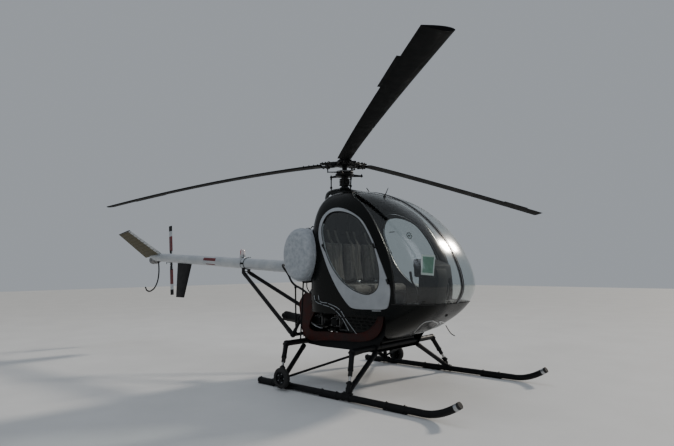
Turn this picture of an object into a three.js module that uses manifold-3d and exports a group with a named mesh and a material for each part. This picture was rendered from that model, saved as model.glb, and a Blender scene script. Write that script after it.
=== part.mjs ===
// A light three-seat helicopter: bubble cabin, open engine bay, tail boom, skids on
// four damped legs and a three-blade rotor. Millimetres, +Z up, nose towards +X, and
// the aircraft's left is +Y. Stations are measured from the mast axis (x = y = 0) and
// the ground (z = 0); the last lines move the whole part by ORIGIN, so that its own
// origin is the bottom centre of its bounding box.
import * as THREE from 'three';
import { mergeVertices } from 'three/addons/utils/BufferGeometryUtils.js';
import Module from 'manifold-3d';

const wasm = await Module();
wasm.setup();

const ORIGIN = { x: 940, y: -560 };   // the mast axis, seen from the part's origin
const GAP = 0.3;            // between two pieces that touch
const RUN = 5;              // round a piece that moves
const SIDES = { right: -1, left: 1 };

// Cabin: a closed egg, given by its side profile and its half width
const CABIN = { x: 339, z: 1104, front: 1282, rear: 500, up: 1118, down: 674, half: 642 };
const FRONT_POWER = 1.71;   // below 2, so the nose is a little pointed
const REAR_POWER = 4;       // the back is nearly flat
const RIM_POWER = 3.27;     // how late the sides turn in towards the rim
const SIDE_POWER = 4;       // how flat the sides are
const WALL = 25;            // panels and doors
const GLASS = { outer: 4, inner: 10 };
const DOOR_GLASS = { outer: 9, inner: 14 };
const BELT_Z = 930;         // the windshield's lower edge
const SILL_Z = 800;         // the lower edge of the panels under the doors
const STRIP_HALF = 18;      // half width of the strip between the two windshields
const FIREWALL_X = 60;
const FIREWALL = 12;
const FLOOR = { z: 838, thick: 12, x0: -125, x1: 1560 };

// Side-view outlines of the cabin, [x, z]
const DOOR = [[400, 1982], [240, 1970], [138, 1870], [120, 1690], [225, 1430], [319, 1243],
  [425, 1080], [548, 935], [612, 882], [680, 868], [820, 868], [1000, 874], [1062, 892],
  [1092, 948], [1116, 1085], [1082, 1185], [974, 1425], [868, 1634], [700, 1842]];
const DOOR_WINDOW = [[400, 1938], [240, 1915], [170, 1780], [215, 1580], [335, 1340],
  [500, 1160], [700, 1052], [860, 1028], [962, 1090], [985, 1240], [930, 1460], [825, 1660],
  [660, 1845]];
const DOOR_POINTS = 48;
const WINDOW_POINTS = 34;
const SHIELD_EDGE = [[1158, BELT_Z], [1150, 1178], [1084, 1433], [972, 1645], [813, 1871],
  [673, 2005], [445, 2162], [330, 2300]];
const BAY_EDGE = [[1130, SILL_Z], [1020, SILL_Z], [990, 690], [850, 500], [790, 380]];

// Rims of the two lamp windows under the nose: corners on the skin, as [x, y]
const LAMP_RIMS = [
  [[1049, -56], [1180, -225], [1312, -288], [1345, -200], [1327, -116], [1222, 121], [1060, 132]],
  [[1310, 20], [1259, 199], [1180, 330], [1120, 300], [1130, 190], [1235, 160]],
];
const LAMP_RIM = 8;

// The door hinges: two pins on the canopy frame, on one slanting axis just outboard of
// the skin, and a barrel on the door over each of them
const HINGE = { foot: [1128, 1092], lean: [-0.42, 0.9075], y: 626, at: [70, 480], pin: 5 };
const BARREL = { r: 11, length: 34 };

// Seats
const SEAT = { base: 1010, cushion: 1110, back: 1640, front: 600, half: 530 };

// Engine bay: engine, fan, belt drive, gearbox and the frame's side bands
const ENGINE = { x0: -330, x1: 400, half: 110, z0: 560, z1: 790 };
const FAN = { r: 232, hubR: 210, edge: 22, width: 90 };
const DRIVE = { z: 960, engineZ: 680, x0: -535, x1: -460, pulley: 95, belt: 10, shaft: 20, stub: 30 };
const GEARBOX = { x0: -110, x1: 50, half: 150, top: 1120 };
const CYLINDER = { at: [-130, 150], core: 62, fin: 80, finFrom: 135, finStep: 38, finThick: 12, fins: 5 };
const BAY = { y0: 432, y1: 456, width: 84 };
// The dark panel inside each side band, as [x, z], and its louvres as [z, x from, x to]
const BAY_PANEL = [[236, 796], [303, 714], [377, 641], [440, 545], [520, 458], [660, 470],
  [700, 480], [800, 482], [850, 520], [880, 560], [955, 700], [960, 796]];
const LOUVRES = [[560, 490, 715], [605, 460, 760], [650, 435, 800], [695, 400, 840]];

// Tanks, each with a filler cap on top
const TANK = { x: -120, z: 1458, halfX: 215, halfZ: 302, inner: 350, outer: 760 };
const FILLER = { x: -120, y: 540, r: 36, top: 1779 };

// Rotor and tail
const ROTOR = { radius: 4090, chord: 175, thick: 21, hub: 2624, root: 331 };
const HUB_RADIUS = 95;
const MAST = { outer: 40, bore: 32, shaft: 31.5, top: 2500, sides: 36 };
const BOOM = { x0: -175, x1: -4640, z0: 1205, z1: 1495, r0: 130, r1: 88, wall: 6 };
const TAIL_ROTOR = { x: -4610, y: 350, z: 1465, radius: 650, chord: 110 };
const CLAMP_X = -1950;
const STRUT = { y: 52, z: 1168, r: 22 };

// Blades in the order left of view, near, far: azimuth in degrees, droop of the tip in mm and
// how late along the blade it comes
const BLADES = [
  { azimuth: 197, droop: 335, bend: 1.6 },
  { azimuth: 317.6, droop: 150, bend: 1.6 },
  { azimuth: 77, droop: 420, bend: 1.1 },
];
const TWIST = { root: 2, tip: -6 };   // degrees, leading edge up
// Each blade's lag damper lies behind its grip, from the hub's plate to a lug on the grip
const LAG_DAMPER = { from: [28, -92], to: [232, -72], r: 21, lug: [205, 255] };
const BLADE_STATIONS = [ROTOR.root, 700, 1500, 2300, 3200, ROTOR.radius];
// Blade section: share of the chord ahead of the pitch axis, share of the thickness
const BLADE_SECTION = [[0.25, 0], [0.18, 0.42], [-0.03, 0.5], [-0.38, 0.25], [-0.75, 0.05],
  [-0.75, -0.05], [-0.38, -0.25], [-0.03, -0.5], [0.18, -0.42]];

// Mast fairing: its plan, and its side view as [x, z]
const FAIRING = { rear: -150, front: 180, half: 150, hole: { x: -130, r: 50 } };
const FAIRING_SIDE = [[-300, 2185], [-290, 2250], [-250, 2292], [-170, 2312], [0, 2302], [200, 2276],
  [315, 2254], [345, 2150], [60, 1950], [-120, 1850], [-190, 1850]];

// Landing gear
const SKID = { y: 985, z: 38, r: 32, aft: -460, flat: 1720, tip: [2086, 170] };
const SHOES = { at: [-330, 620, 1430], length: 260, half: 24, top: 14 };
const BEAM = { z: 440, r: 32, half: 800, front: 753, rear: -236 };
const RAIL = { y: 300, r: 20, aft: -470, fore: 790 };
const RAIL_Z = BEAM.z + BEAM.r + GAP + RAIL.r;
const WHEEL = { x: 6, y: 1072, z: 126, r: 110, width: 62, axle: 10 };
// Legs: where the leg leaves the beam, where the damper leaves it, the damper's foot
const LEGS = {
  front: { top: [775, 400, 398], damper: [753, 784, 430], heel: [840, 932, 160], foot: [847, 975, 68] },
  rear: { top: [-246, 478, 388], damper: [-236, 784, 430], heel: [-112, 952, 205], foot: [-100, 972, 68] },
};

const v = (x, y, z) => new THREE.Vector3(x, y, z);

// From a three.js geometry to a solid
function solid(geometry) {
  const bare = geometry.clone();
  bare.deleteAttribute('normal');
  bare.deleteAttribute('uv');
  const merged = mergeVertices(bare, 0.001);
  const corners = merged.index.array;
  const kept = [];
  for (let i = 0; i < corners.length; i += 3) {
    const [a, b, c] = [corners[i], corners[i + 1], corners[i + 2]];
    if (a !== b && b !== c && c !== a) kept.push(a, b, c);
  }
  return new wasm.Manifold(new wasm.Mesh({
    numProp: 3,
    vertProperties: new Float32Array(merged.attributes.position.array),
    triVerts: new Uint32Array(kept),
  }));
}

function join(...pieces) {
  return pieces.reduce((sum, piece) => sum.add(piece));
}

function cut(piece, ...tools) {
  return tools.reduce((rest, tool) => rest.subtract(tool), piece);
}

function common(...pieces) {
  return pieces.reduce((rest, piece) => rest.intersect(piece));
}

function box(x0, x1, y0, y1, z0, z1) {
  const shape = new THREE.BoxGeometry(x1 - x0, y1 - y0, z1 - z0);
  return solid(shape.translate((x0 + x1) / 2, (y0 + y1) / 2, (z0 + z1) / 2));
}

// A round bar, or a cone, between two points
function bar(from, to, r0, r1 = r0, sides = 8) {
  const along = to.clone().sub(from);
  const shape = new THREE.CylinderGeometry(r1, r0, along.length(), sides);
  const turn = new THREE.Quaternion().setFromUnitVectors(v(0, 1, 0), along.normalize());
  shape.applyQuaternion(turn);
  const middle = from.clone().add(to).multiplyScalar(0.5);
  return solid(shape.translate(middle.x, middle.y, middle.z));
}

function ball(at, r) {
  return solid(new THREE.SphereGeometry(r, 8, 5).translate(at.x, at.y, at.z));
}

// A profile of [radius, height] pairs, turned about an axis through a point
function turned(profile, at, axis = v(0, 0, 1), segments = 24) {
  const points = profile.map(([r, h]) => new THREE.Vector2(r, h));
  const shape = new THREE.LatheGeometry(points, segments);
  shape.applyQuaternion(new THREE.Quaternion().setFromUnitVectors(v(0, 1, 0), axis));
  return solid(shape.translate(at.x, at.y, at.z));
}

// A round tube along a smooth curve through points
function bentTube(points, r, steps, sides = 8) {
  return tubeAlong(new THREE.CatmullRomCurve3(points, false, 'centripetal'), r, steps, sides);
}

function tubeAlong(path, r, steps, sides = 8) {
  const ring = new THREE.Shape();
  for (let i = 0; i < sides; i += 1) {
    const a = (i / sides) * 2 * Math.PI;
    if (i === 0) ring.moveTo(r, 0);
    else ring.lineTo(r * Math.cos(a), r * Math.sin(a));
  }
  return solid(new THREE.ExtrudeGeometry(ring, { steps, extrudePath: path, bevelEnabled: false }));
}

// An outline of [x, z] pairs as a solid from y0 to y1
function prism(outline, y0, y1) {
  const shape = new THREE.Shape(outline.map(([x, z]) => new THREE.Vector2(x, z)));
  const slab = new THREE.ExtrudeGeometry(shape, { depth: y1 - y0, bevelEnabled: false });
  return solid(slab.rotateX(Math.PI / 2).translate(0, y1, 0));
}

// A smooth closed outline through [x, z] pairs, moved outwards by grow
function smoothOutline(pairs, count, grow = 0) {
  const curve = new THREE.CatmullRomCurve3(pairs.map(([x, z]) => v(x, z, 0)), true);
  const outline = [];
  for (let i = 0; i < count; i += 1) {
    const p = curve.getPoint(i / count);
    const t = curve.getTangent(i / count);
    outline.push([p.x + t.y * grow, p.y - t.x * grow]);
  }
  return outline;
}

// A solid through rings of points, closed at both ends
function loft(rings) {
  const n = rings[0].length;
  const points = rings.flat();
  const faces = [];
  for (let j = 0; j + 1 < rings.length; j += 1) {
    for (let i = 0; i < n; i += 1) {
      const [a, b] = [j * n + i, j * n + ((i + 1) % n)];
      faces.push(a, b, b + n, a, b + n, a + n);
    }
  }
  const last = (rings.length - 1) * n;
  for (let i = 1; i + 1 < n; i += 1) {
    faces.push(0, i + 1, i, last, last + i, last + i + 1);
  }
  const shape = new THREE.BufferGeometry().setFromPoints(points);
  shape.setIndex(faces);
  return solid(shape);
}

// The cabin's egg, drawn in by inset on every side. Rings run from the right side's
// middle out to the rim and back to the left side's middle.
function egg(inset) {
  const aroundCount = 36;
  const breadths = [0.985, 0.94, 0.86, 0.74, 0.55, 0.3];
  const sides = [...breadths.map((b) => -b), 0, ...breadths.reverse()];
  const rings = sides.map((b) => {
    const reach = (1 - Math.abs(b) ** SIDE_POWER) ** (1 / RIM_POWER);
    const ring = [];
    for (let i = 0; i < aroundCount; i += 1) {
      const a = -(i / aroundCount) * 2 * Math.PI;
      const [c, s] = [Math.cos(a), Math.sin(a)];
      const power = 2 / (c >= 0 ? FRONT_POWER : REAR_POWER);
      const length = (c >= 0 ? CABIN.front : CABIN.rear) - inset;
      const height = (s >= 0 ? CABIN.up : CABIN.down) - inset;
      const x = CABIN.x + Math.sign(c) * Math.abs(c) ** power * length * reach;
      const z = CABIN.z + Math.sign(s) * Math.abs(s) ** power * height * reach;
      ring.push(v(x, b * (CABIN.half - inset), z));
    }
    return ring;
  });
  return loft(rings);
}

const eggOuter = egg(0);
const eggInner = egg(WALL);
const eggInside = egg(WALL + GAP);
const eggAround = egg(-GAP);
const cabinWall = cut(eggOuter, eggInner);


function shieldRegion(gap) {
  const edge = SHIELD_EDGE.map(([x, z], i) => [x + gap, i === 0 ? z + gap : z]);
  return [...edge, [1800, 2300], [1800, BELT_Z + gap]];
}

function doorSolid(side) {
  const near = side < 0 ? [-900, -100] : [100, 900];
  const panel = common(cabinWall, prism(smoothOutline(DOOR, DOOR_POINTS), ...near));
  return cut(panel, prism(smoothOutline(DOOR_WINDOW, WINDOW_POINTS), ...near));
}

function doorGlass(side) {
  const near = side < 0 ? [-900, -100] : [100, 900];
  const sheet = cut(egg(DOOR_GLASS.outer), egg(DOOR_GLASS.inner));
  return common(sheet, prism(smoothOutline(DOOR_WINDOW, WINDOW_POINTS, -GAP), ...near));
}

function hingePoint(side, along) {
  const [x, z] = HINGE.foot;
  return v(x + HINGE.lean[0] * along, side * HINGE.y, z + HINGE.lean[1] * along);
}

function hingePins(side) {
  const pieces = HINGE.at.map((s) => {
    const low = hingePoint(side, s - 22);
    const seat = hingePoint(side, s);
    const tip = hingePoint(side, s + BARREL.length);
    const arm = bar(seat.clone().lerp(low, 0.6), v(seat.x + 26, side * (HINGE.y - 42), seat.z), 8);
    return join(bar(low, seat, BARREL.r), bar(low, tip, HINGE.pin, HINGE.pin, 16), arm);
  });
  return join(...pieces);
}

function hingeBarrels(side) {
  const pieces = HINGE.at.map((s) => {
    const low = hingePoint(side, s + GAP);
    const high = hingePoint(side, s + BARREL.length);
    const middle = low.clone().lerp(high, 0.5);
    const strap = bar(middle, v(middle.x - 13, side * (HINGE.y - 26), middle.z), 6);
    const hole = bar(hingePoint(side, s - 4), hingePoint(side, s + BARREL.length + 4),
      HINGE.pin + GAP, HINGE.pin + GAP, 16);
    return cut(join(bar(low, high, BARREL.r), strap), hole);
  });
  return join(...pieces);
}

// Cabin panels
function canopyFrame() {
  const region = [[FIREWALL_X + GAP, SILL_Z + GAP], [1130, SILL_Z + GAP], ...SHIELD_EDGE,
    [330, 2400], [FIREWALL_X + GAP, 2400]];
  const panels = common(cabinWall, prism(region, -800, 800));
  const stripRegion = [[250, 2100], [250, 2400], [1800, 2400], [1800, BELT_Z + GAP],
    [1300, BELT_Z + GAP]];
  const strip = common(cabinWall, prism(stripRegion, -STRIP_HALF, STRIP_HALF));
  const opening = smoothOutline(DOOR, DOOR_POINTS, RUN);
  const openings = [prism(opening, -900, -100), prism(opening, 100, 900)];
  const frame = cut(join(panels, strip), ...openings);
  return join(frame, hingePins(-1), hingePins(1));
}

// The cabin's skin under a plan point
function bellySkin(x, y) {
  const reach = (1 - Math.abs(y / CABIN.half) ** SIDE_POWER) ** (1 / RIM_POWER);
  const share = Math.abs((x - CABIN.x) / CABIN.front);
  const drop = (reach ** FRONT_POWER - share ** FRONT_POWER) ** (1 / FRONT_POWER);
  return v(x, y, CABIN.z - drop * CABIN.down);
}

function lampRim(corners) {
  const places = corners.map(([x, y]) => bellySkin(x, y));
  return join(...places.map((place, i) => {
    const next = places[(i + 1) % places.length];
    return bar(place.clone().lerp(next, -0.02), place.clone().lerp(next, 1.02), LAMP_RIM,
      LAMP_RIM, 7);
  }));
}

function lowerShell() {
  const region = [[1158, BELT_Z], ...BAY_EDGE, [1800, 380], [1800, BELT_Z]];
  return join(common(cabinWall, prism(region, -800, 800)), ...LAMP_RIMS.map(lampRim));
}

function windshield(side) {
  const sheet = cut(egg(GLASS.outer), egg(GLASS.inner));
  const reach = side < 0 ? [-900, -STRIP_HALF - GAP] : [STRIP_HALF + GAP, 900];
  return common(sheet, prism(shieldRegion(GAP), ...reach));
}

function rearFairing() {
  const region = box(-400, FIREWALL_X, -800, 800, SILL_Z + GAP, 2400);
  const mastHole = bar(v(0, 0, 1900), v(0, 0, 2400), MAST.outer + GAP, MAST.outer + GAP, 16);
  const shaftHole = bar(v(-300, 0, DRIVE.z), v(-50, 0, DRIVE.z), DRIVE.shaft + GAP);
  return cut(common(cabinWall, region), mastHole, shaftHole);
}

function firewall() {
  const slab = box(FIREWALL_X, FIREWALL_X + FIREWALL, -700, 700, FLOOR.z + FLOOR.thick + GAP, 2300);
  return common(slab, eggInside);
}

function cabinFloor() {
  const slab = box(FLOOR.x0, FLOOR.x1, -700, 700, FLOOR.z, FLOOR.z + FLOOR.thick);
  const pieces = [common(slab, eggInside)];
  const top = FLOOR.z + FLOOR.thick;
  for (const y of [-420, -280, 280, 420]) {
    pieces.push(box(1254, 1286, y - 14, y + 14, top - 2, top + 34));
    pieces.push(bar(v(1268, y, top + 20), v(1230, y, top + 110), 8));
    pieces.push(box(1205, 1255, y - 35, y + 35, top + 70, top + 82));
  }
  return join(...pieces);
}

// Seats
function seatBase() {
  const slab = box(FIREWALL_X + FIREWALL + GAP, 545, -SEAT.half, SEAT.half,
    FLOOR.z + FLOOR.thick + GAP, SEAT.base);
  return common(slab, egg(60));
}

function seatCushion() {
  const slab = box(FIREWALL_X + FIREWALL + 8, SEAT.front, -SEAT.half, SEAT.half,
    SEAT.base + GAP, SEAT.cushion);
  return common(slab, egg(52));
}

function seatBack() {
  const x = FIREWALL_X + FIREWALL + GAP;
  const outline = [[x, SEAT.cushion + GAP], [x + 130, SEAT.cushion + GAP], [x + 80, SEAT.back],
    [x, SEAT.back]];
  return common(prism(outline, -SEAT.half + 20, SEAT.half - 20), egg(52));
}

function instrumentConsole() {
  const base = FLOOR.z + FLOOR.thick + GAP;
  const pedestal = [[1120, base], [1330, base], [1390, 1180], [1360, 1290], [1180, 1330],
    [1140, 1200]];
  const panel = [[1150, 1200], [1370, 1180], [1350, 1330], [1180, 1400]];
  const body = join(prism(pedestal, -110, 110), prism(panel, -230, 230));
  return common(body, egg(45));
}

function cyclicSticks() {
  const low = FLOOR.z + FLOOR.thick + GAP + 10;
  const pieces = [bar(v(840, -300, low), v(840, 300, low), 10)];
  for (const y of [-300, 300]) {
    pieces.push(bentTube([v(840, y, low), v(860, y, low + 130), v(780, y, low + 300)], 11, 6, 6));
    pieces.push(bar(v(783, y, low + 290), v(766, y, low + 400), 17));
  }
  return join(...pieces);
}

// Power: engine, fan, belt drive and gearbox
function engineBlock() {
  const base = RAIL_Z + RAIL.r + GAP;
  const middle = (ENGINE.z0 + ENGINE.z1) / 2;
  const pieces = [
    box(ENGINE.x0, ENGINE.x1, -ENGINE.half, ENGINE.half, ENGINE.z0, ENGINE.z1),
    box(-200, 300, -RAIL.y - 25, RAIL.y + 25, base, ENGINE.z0 + 1),
  ];
  const { at, core, fin, finFrom, finStep, finThick, fins } = CYLINDER;
  for (const x of at) {
    for (const side of [-1, 1]) {
      pieces.push(bar(v(x, side * 100, middle), v(x, side * 330, middle), core, core, 12));
      for (let i = 0; i < fins; i += 1) {
        const y = side * (finFrom + i * finStep);
        pieces.push(bar(v(x, y, middle), v(x, y + side * finThick, middle), fin, fin, 12));
      }
      pieces.push(box(x - 70, x + 70, Math.min(side * 325, side * 385),
        Math.max(side * 325, side * 385), middle - 62, middle + 62));
      const inlet = [v(x, side * 200, ENGINE.z0 - 20), v(x, side * 290, ENGINE.z0 - 6),
        v(x, side * 355, middle - 55)];
      pieces.push(bentTube(inlet, 18, 3, 6));
    }
  }
  return join(...pieces);
}

function fanScroll() {
  const { r, hubR, edge, width } = FAN;
  const profile = [[0, 0], [hubR, 0], [r, edge], [r, width - edge], [hubR, width], [0, width]];
  return turned(profile, v(ENGINE.x0 - GAP - width, 0, DRIVE.engineZ), v(1, 0, 0), 24);
}

function beltDrive() {
  const { x0, x1, z, engineZ, pulley, belt, shaft, stub } = DRIVE;
  const fanFace = ENGINE.x0 - FAN.width - 2 * GAP;
  const pulleys = [z, engineZ].map((h) => bar(v(x0, 0, h), v(x1, 0, h), pulley, pulley, 20));
  const runs = [-1, 1].map((side) => {
    const ys = [side * (pulley - 1), side * (pulley - 1 - belt)];
    return box(x0 + belt, x1 - belt, Math.min(...ys), Math.max(...ys), engineZ, z);
  });
  return join(
    ...pulleys,
    ...runs,
    bar(v(x1 - 1, 0, engineZ), v(fanFace, 0, engineZ), stub),
    bar(v(x1 - 1, 0, z), v(GEARBOX.x0 - GAP, 0, z), shaft),
  );
}

function mainGearbox() {
  const base = FLOOR.z + FLOOR.thick + GAP;
  return box(GEARBOX.x0, GEARBOX.x1, -GEARBOX.half, GEARBOX.half, base, GEARBOX.top);
}

function exhaustMuffler() {
  return join(
    bar(v(-880, -210, 545), v(-560, -210, 610), 62, 62, 16),
    bar(v(-940, -210, 533), v(-870, -210, 547), 30),
    bentTube([v(-570, -210, 608), v(-480, -240, 636), v(-380, -330, 648), v(-300, -366, 645),
      v(-204, -366, 645)], 26, 8),
    bar(v(-210, -366, 645), v(-200 - GAP, -366, 645), 30),
  );
}

// Frame
function centreFrame() {
  const pieces = [];
  const railTop = RAIL_Z;
  for (const side of [-1, 1]) {
    const y = side * RAIL.y;
    pieces.push(bar(v(RAIL.aft, y, railTop), v(RAIL.fore, y, railTop), RAIL.r));
    for (const x of [-285, 460]) {
      pieces.push(bar(v(x, y, railTop), v(x, y, FLOOR.z - GAP), 18));
    }
    const cluster = v(-500, side * 420, 480);
    pieces.push(ball(cluster, 34));
    pieces.push(bar(cluster, v(-440, y, railTop), RAIL.r));
    pieces.push(bar(cluster, v(-230, side * 138, boomCentre(-230) + 50), 20));
  }
  for (const x of [RAIL.aft + 10, 560, RAIL.fore - 10]) {
    pieces.push(bar(v(x, -RAIL.y, railTop), v(x, RAIL.y, railTop), 16));
  }
  const bore = boomSolid(GAP);
  const collar = bar(v(-262, 0, boomCentre(-262)), v(-200, 0, boomCentre(-200)),
    boomRadius(-230) + 22, boomRadius(-230) + 22, 28);
  pieces.push(collar);
  for (const side of [-1, 1]) pieces.push(tankCradle(side));
  return cut(join(...pieces), bore);
}

function bayFrame() {
  const line = [[-395, 905], [-400, 700], [-372, 520], [-270, 425], [100, 400], [500, 420],
    [740, 490], [905, 650], [975, 790]];
  const curve = new THREE.CatmullRomCurve3(line.map(([x, z]) => v(x, z, 0)));
  const outside = [];
  const inside = [];
  for (let i = 0; i <= 20; i += 1) {
    const p = curve.getPoint(i / 20);
    const t = curve.getTangent(i / 20);
    outside.push([p.x + t.y * BAY.width / 2, p.y - t.x * BAY.width / 2]);
    inside.unshift([p.x - t.y * BAY.width / 2, p.y + t.x * BAY.width / 2]);
  }
  const band = [...outside, ...inside];
  const pieces = [prism(band, -BAY.y1, -BAY.y0), prism(band, BAY.y0, BAY.y1)];
  for (const [x, z] of [[-330, 445], [560, 430], [100, 400]]) {
    pieces.push(bar(v(x, -BAY.y0 - 4, z), v(x, BAY.y0 + 4, z), 14));
  }
  const beams = [BEAM.rear, BEAM.front].map((x) => bar(
    v(x, -900, BEAM.z), v(x, 900, BEAM.z), BEAM.r + GAP, BEAM.r + GAP, 16));
  const sill = box(-500, 1200, -700, 700, SILL_Z, 1000);
  const nose = BAY_EDGE.slice(1).map(([x, z]) => [x - 2 * GAP, z]);
  const shellSide = prism([...nose, [1500, 380], [1500, SILL_Z]], -700, 700);
  return cut(join(...pieces), ...beams, shellSide, common(egg(-GAP), sill));
}

function bayPanel(side) {
  const inner = side * (BAY.y0 - GAP - FIREWALL);
  const outer = side * (BAY.y0 - GAP);
  const sheet = prism(BAY_PANEL, Math.min(inner, outer), Math.max(inner, outer));
  const ribs = LOUVRES.map(([z, x0, x1]) => bar(v(x0, outer, z), v(x1, outer, z), 8, 8, 8));
  return join(sheet, ...ribs);
}

// Tail boom and what it carries
function boomCentre(x) {
  return BOOM.z0 + (BOOM.z1 - BOOM.z0) * (x - BOOM.x0) / (BOOM.x1 - BOOM.x0);
}

function boomRadius(x) {
  return BOOM.r0 + (BOOM.r1 - BOOM.r0) * (x - BOOM.x0) / (BOOM.x1 - BOOM.x0);
}

function boomSolid(grow = 0) {
  return bar(v(BOOM.x0 + grow, 0, BOOM.z0), v(BOOM.x1 - grow, 0, BOOM.z1), BOOM.r0 + grow,
    BOOM.r1 + grow, 24);
}

// The boom is a tube, open at the front and closed by a thick plate at the rear
function tailBoom() {
  const plate = 40;
  const bore = bar(v(BOOM.x0 + 10, 0, BOOM.z0), v(BOOM.x1 + plate, 0, boomCentre(BOOM.x1 + plate)),
    BOOM.r0 - BOOM.wall, BOOM.r1 - BOOM.wall, 24);
  return cut(boomSolid(), bore);
}

function boomClamp() {
  const r = boomRadius(CLAMP_X);
  const ring = bar(v(CLAMP_X - 32, 0, boomCentre(CLAMP_X - 32)),
    v(CLAMP_X + 32, 0, boomCentre(CLAMP_X + 32)), r + 12, r + 12, 28);
  const lug = box(CLAMP_X - 26, CLAMP_X + 26, -STRUT.y - 12, STRUT.y + 12, STRUT.z - 20,
    boomCentre(CLAMP_X) - r);
  const struts = [-1, 1].map((side) => tailStrutBar(side, GAP));
  return cut(join(ring, lug), boomSolid(GAP), ...struts);
}

function tailStrutBar(side, grow = 0) {
  const from = v(CLAMP_X - 2 * grow, side * STRUT.y, STRUT.z + grow);
  return bar(from, v(-525, side * 414, 492), STRUT.r + grow);
}

function tailStrut(side) {
  return cut(tailStrutBar(side), ball(v(-500, side * 420, 480), 34 + GAP));
}

function tailGearbox() {
  const z = TAIL_ROTOR.z;
  const x = TAIL_ROTOR.x;
  const housing = [[0, -70], [52, -70], [72, -30], [72, 60], [45, 110], [26, 125],
    [26, 255], [0, 255]];
  return cut(turned(housing, v(x, 0, z), v(0, 1, 0), 18), boomSolid(GAP));
}

function tailRotor() {
  const { x, y, z, radius, chord } = TAIL_ROTOR;
  const lean = 5 * Math.PI / 180;
  const hub = turned([[0, -95 + GAP], [30, -95 + GAP], [30, -60], [48, -55], [48, 30], [26, 44],
    [0, 44]], v(x, y, z), v(0, 1, 0), 18);
  const pieces = [hub];
  for (const end of [-1, 1]) {
    const section = (r, c, t) => [[-c / 2, 0], [-c / 4, -t / 2], [c / 4, -t / 2], [c / 2, 0],
      [c / 4, t / 2], [-c / 4, t / 2]].map(([a, b]) => v(a, b, r));
    const blade = loft([section(110, chord * 0.8, 16), section(190, chord, 13),
      section(radius, chord, 11)]);
    const neck = bar(v(0, 0, 20), v(0, 0, 150), 17);
    const both = join(blade, neck);
    const degrees = (end < 0 ? 180 : 0) - 5;
    pieces.push(both.rotate([0, degrees, 0]).translate([x, y, z]));
  }
  return join(...pieces);
}

function ventralFin() {
  const outline = [[-3350, 1480], [-3600, 815], [-3850, 815], [-3815, 1480]];
  return cut(prism(outline, -18, 18), boomSolid(GAP));
}

// The stabiliser stands out to the right and upwards
function stabilizer() {
  const rings = [[80, 1490, -4530, 480, 46], [600, 1930, -4510, 400, 34]].map(
    ([y, z, x, chord, thick]) => [[0.5, 0], [0.32, 0.5], [-0.1, 0.42], [-0.5, 0.06],
      [-0.5, -0.06], [-0.1, -0.42], [0.32, -0.5]].map(
      ([a, b]) => v(x + a * chord, -y + b * thick * 0.65, z + b * thick * 0.76)));
  return cut(loft(rings), boomSolid(GAP));
}

function tailSkid() {
  const points = [v(-4455, 0, 1440), v(-4440, 0, 1190), v(-4520, 0, 1010), v(-4700, 0, 900),
    v(-4840, 0, 905), v(-4900, 0, 965)];
  return cut(bentTube(points, 12, 14, 6), boomSolid(GAP));
}

function beacon() {
  const x = CLAMP_X - 85;
  const top = boomCentre(x) + boomRadius(x);
  const profile = [[0, -20], [42, -20], [46, 42], [40, 50], [40, 95], [26, 122], [0, 130]];
  return cut(turned(profile, v(x, 0, top), v(0, 0, 1), 16), boomSolid(GAP));
}

function tankBody(side, grow = 0) {
  const depth = TANK.outer - TANK.inner;
  const profile = [[0, -grow], [0.86, -grow], [1, 40], [1, depth - 95], [0.95, depth - 50],
    [0.82, depth - 18], [0.5, depth - 4], [0, depth + grow]];
  const points = profile.map(([r, h]) => new THREE.Vector2(r, h));
  const shape = new THREE.LatheGeometry(points, 24);
  shape.applyQuaternion(new THREE.Quaternion().setFromUnitVectors(v(0, 1, 0), v(0, side, 0)));
  shape.scale(TANK.halfX + grow, 1, TANK.halfZ + grow);
  return solid(shape.translate(TANK.x, side * TANK.inner, TANK.z));
}

function fuelTank(side) {
  const { x, y, r, top } = FILLER;
  const filler = bar(v(x, side * y, TANK.z), v(x, side * y, top), r, r, 16);
  return cut(join(tankBody(side), filler), egg(-6));
}

function tankCradle(side) {
  const start = v(-262, side * 140, 1165);
  const pieces = [
    bentTube([start, v(-262, side * 350, 1140), v(-190, side * 560, 1150),
      v(-120, side * 640, 1200)], 14, 7, 6),
    bar(v(-190, side * 548, 1152), v(-236, side * 548, BEAM.z + BEAM.r + GAP), 9),
    bar(v(-262, side * 150, 1165), v(-262, side * 120, 1240), 14),
  ];
  return cut(join(...pieces), tankBody(side, GAP), egg(-6));
}

// Rotor mast, swashplate and fairing
function mastSupport() {
  const post = bar(v(0, 0, GEARBOX.top + GAP), v(0, 0, MAST.top), MAST.outer, MAST.outer, 16);
  return cut(post, bar(v(0, 0, 2400), v(0, 0, MAST.top + 10), MAST.bore, MAST.bore, MAST.sides));
}

function mastFairing() {
  const { rear, front, half, hole } = FAIRING;
  const plan = new THREE.Shape();
  plan.absarc(rear, 0, half, Math.PI / 2, 1.5 * Math.PI);
  plan.absarc(front, 0, half, -Math.PI / 2, Math.PI / 2);
  const column = new THREE.ExtrudeGeometry(plan, { depth: 600, bevelEnabled: false, curveSegments: 12 });
  const body = common(prism(FAIRING_SIDE, -half, half), solid(column.translate(0, 0, 1800)));
  const mastHole = bar(v(0, 0, 2000), v(0, 0, 2400), MAST.outer + GAP, MAST.outer + GAP, 16);
  const controls = bar(v(hole.x, 0, 2150), v(hole.x, 0, 2400), hole.r, hole.r, 16);
  return cut(body, eggAround, mastHole, controls);
}

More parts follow.
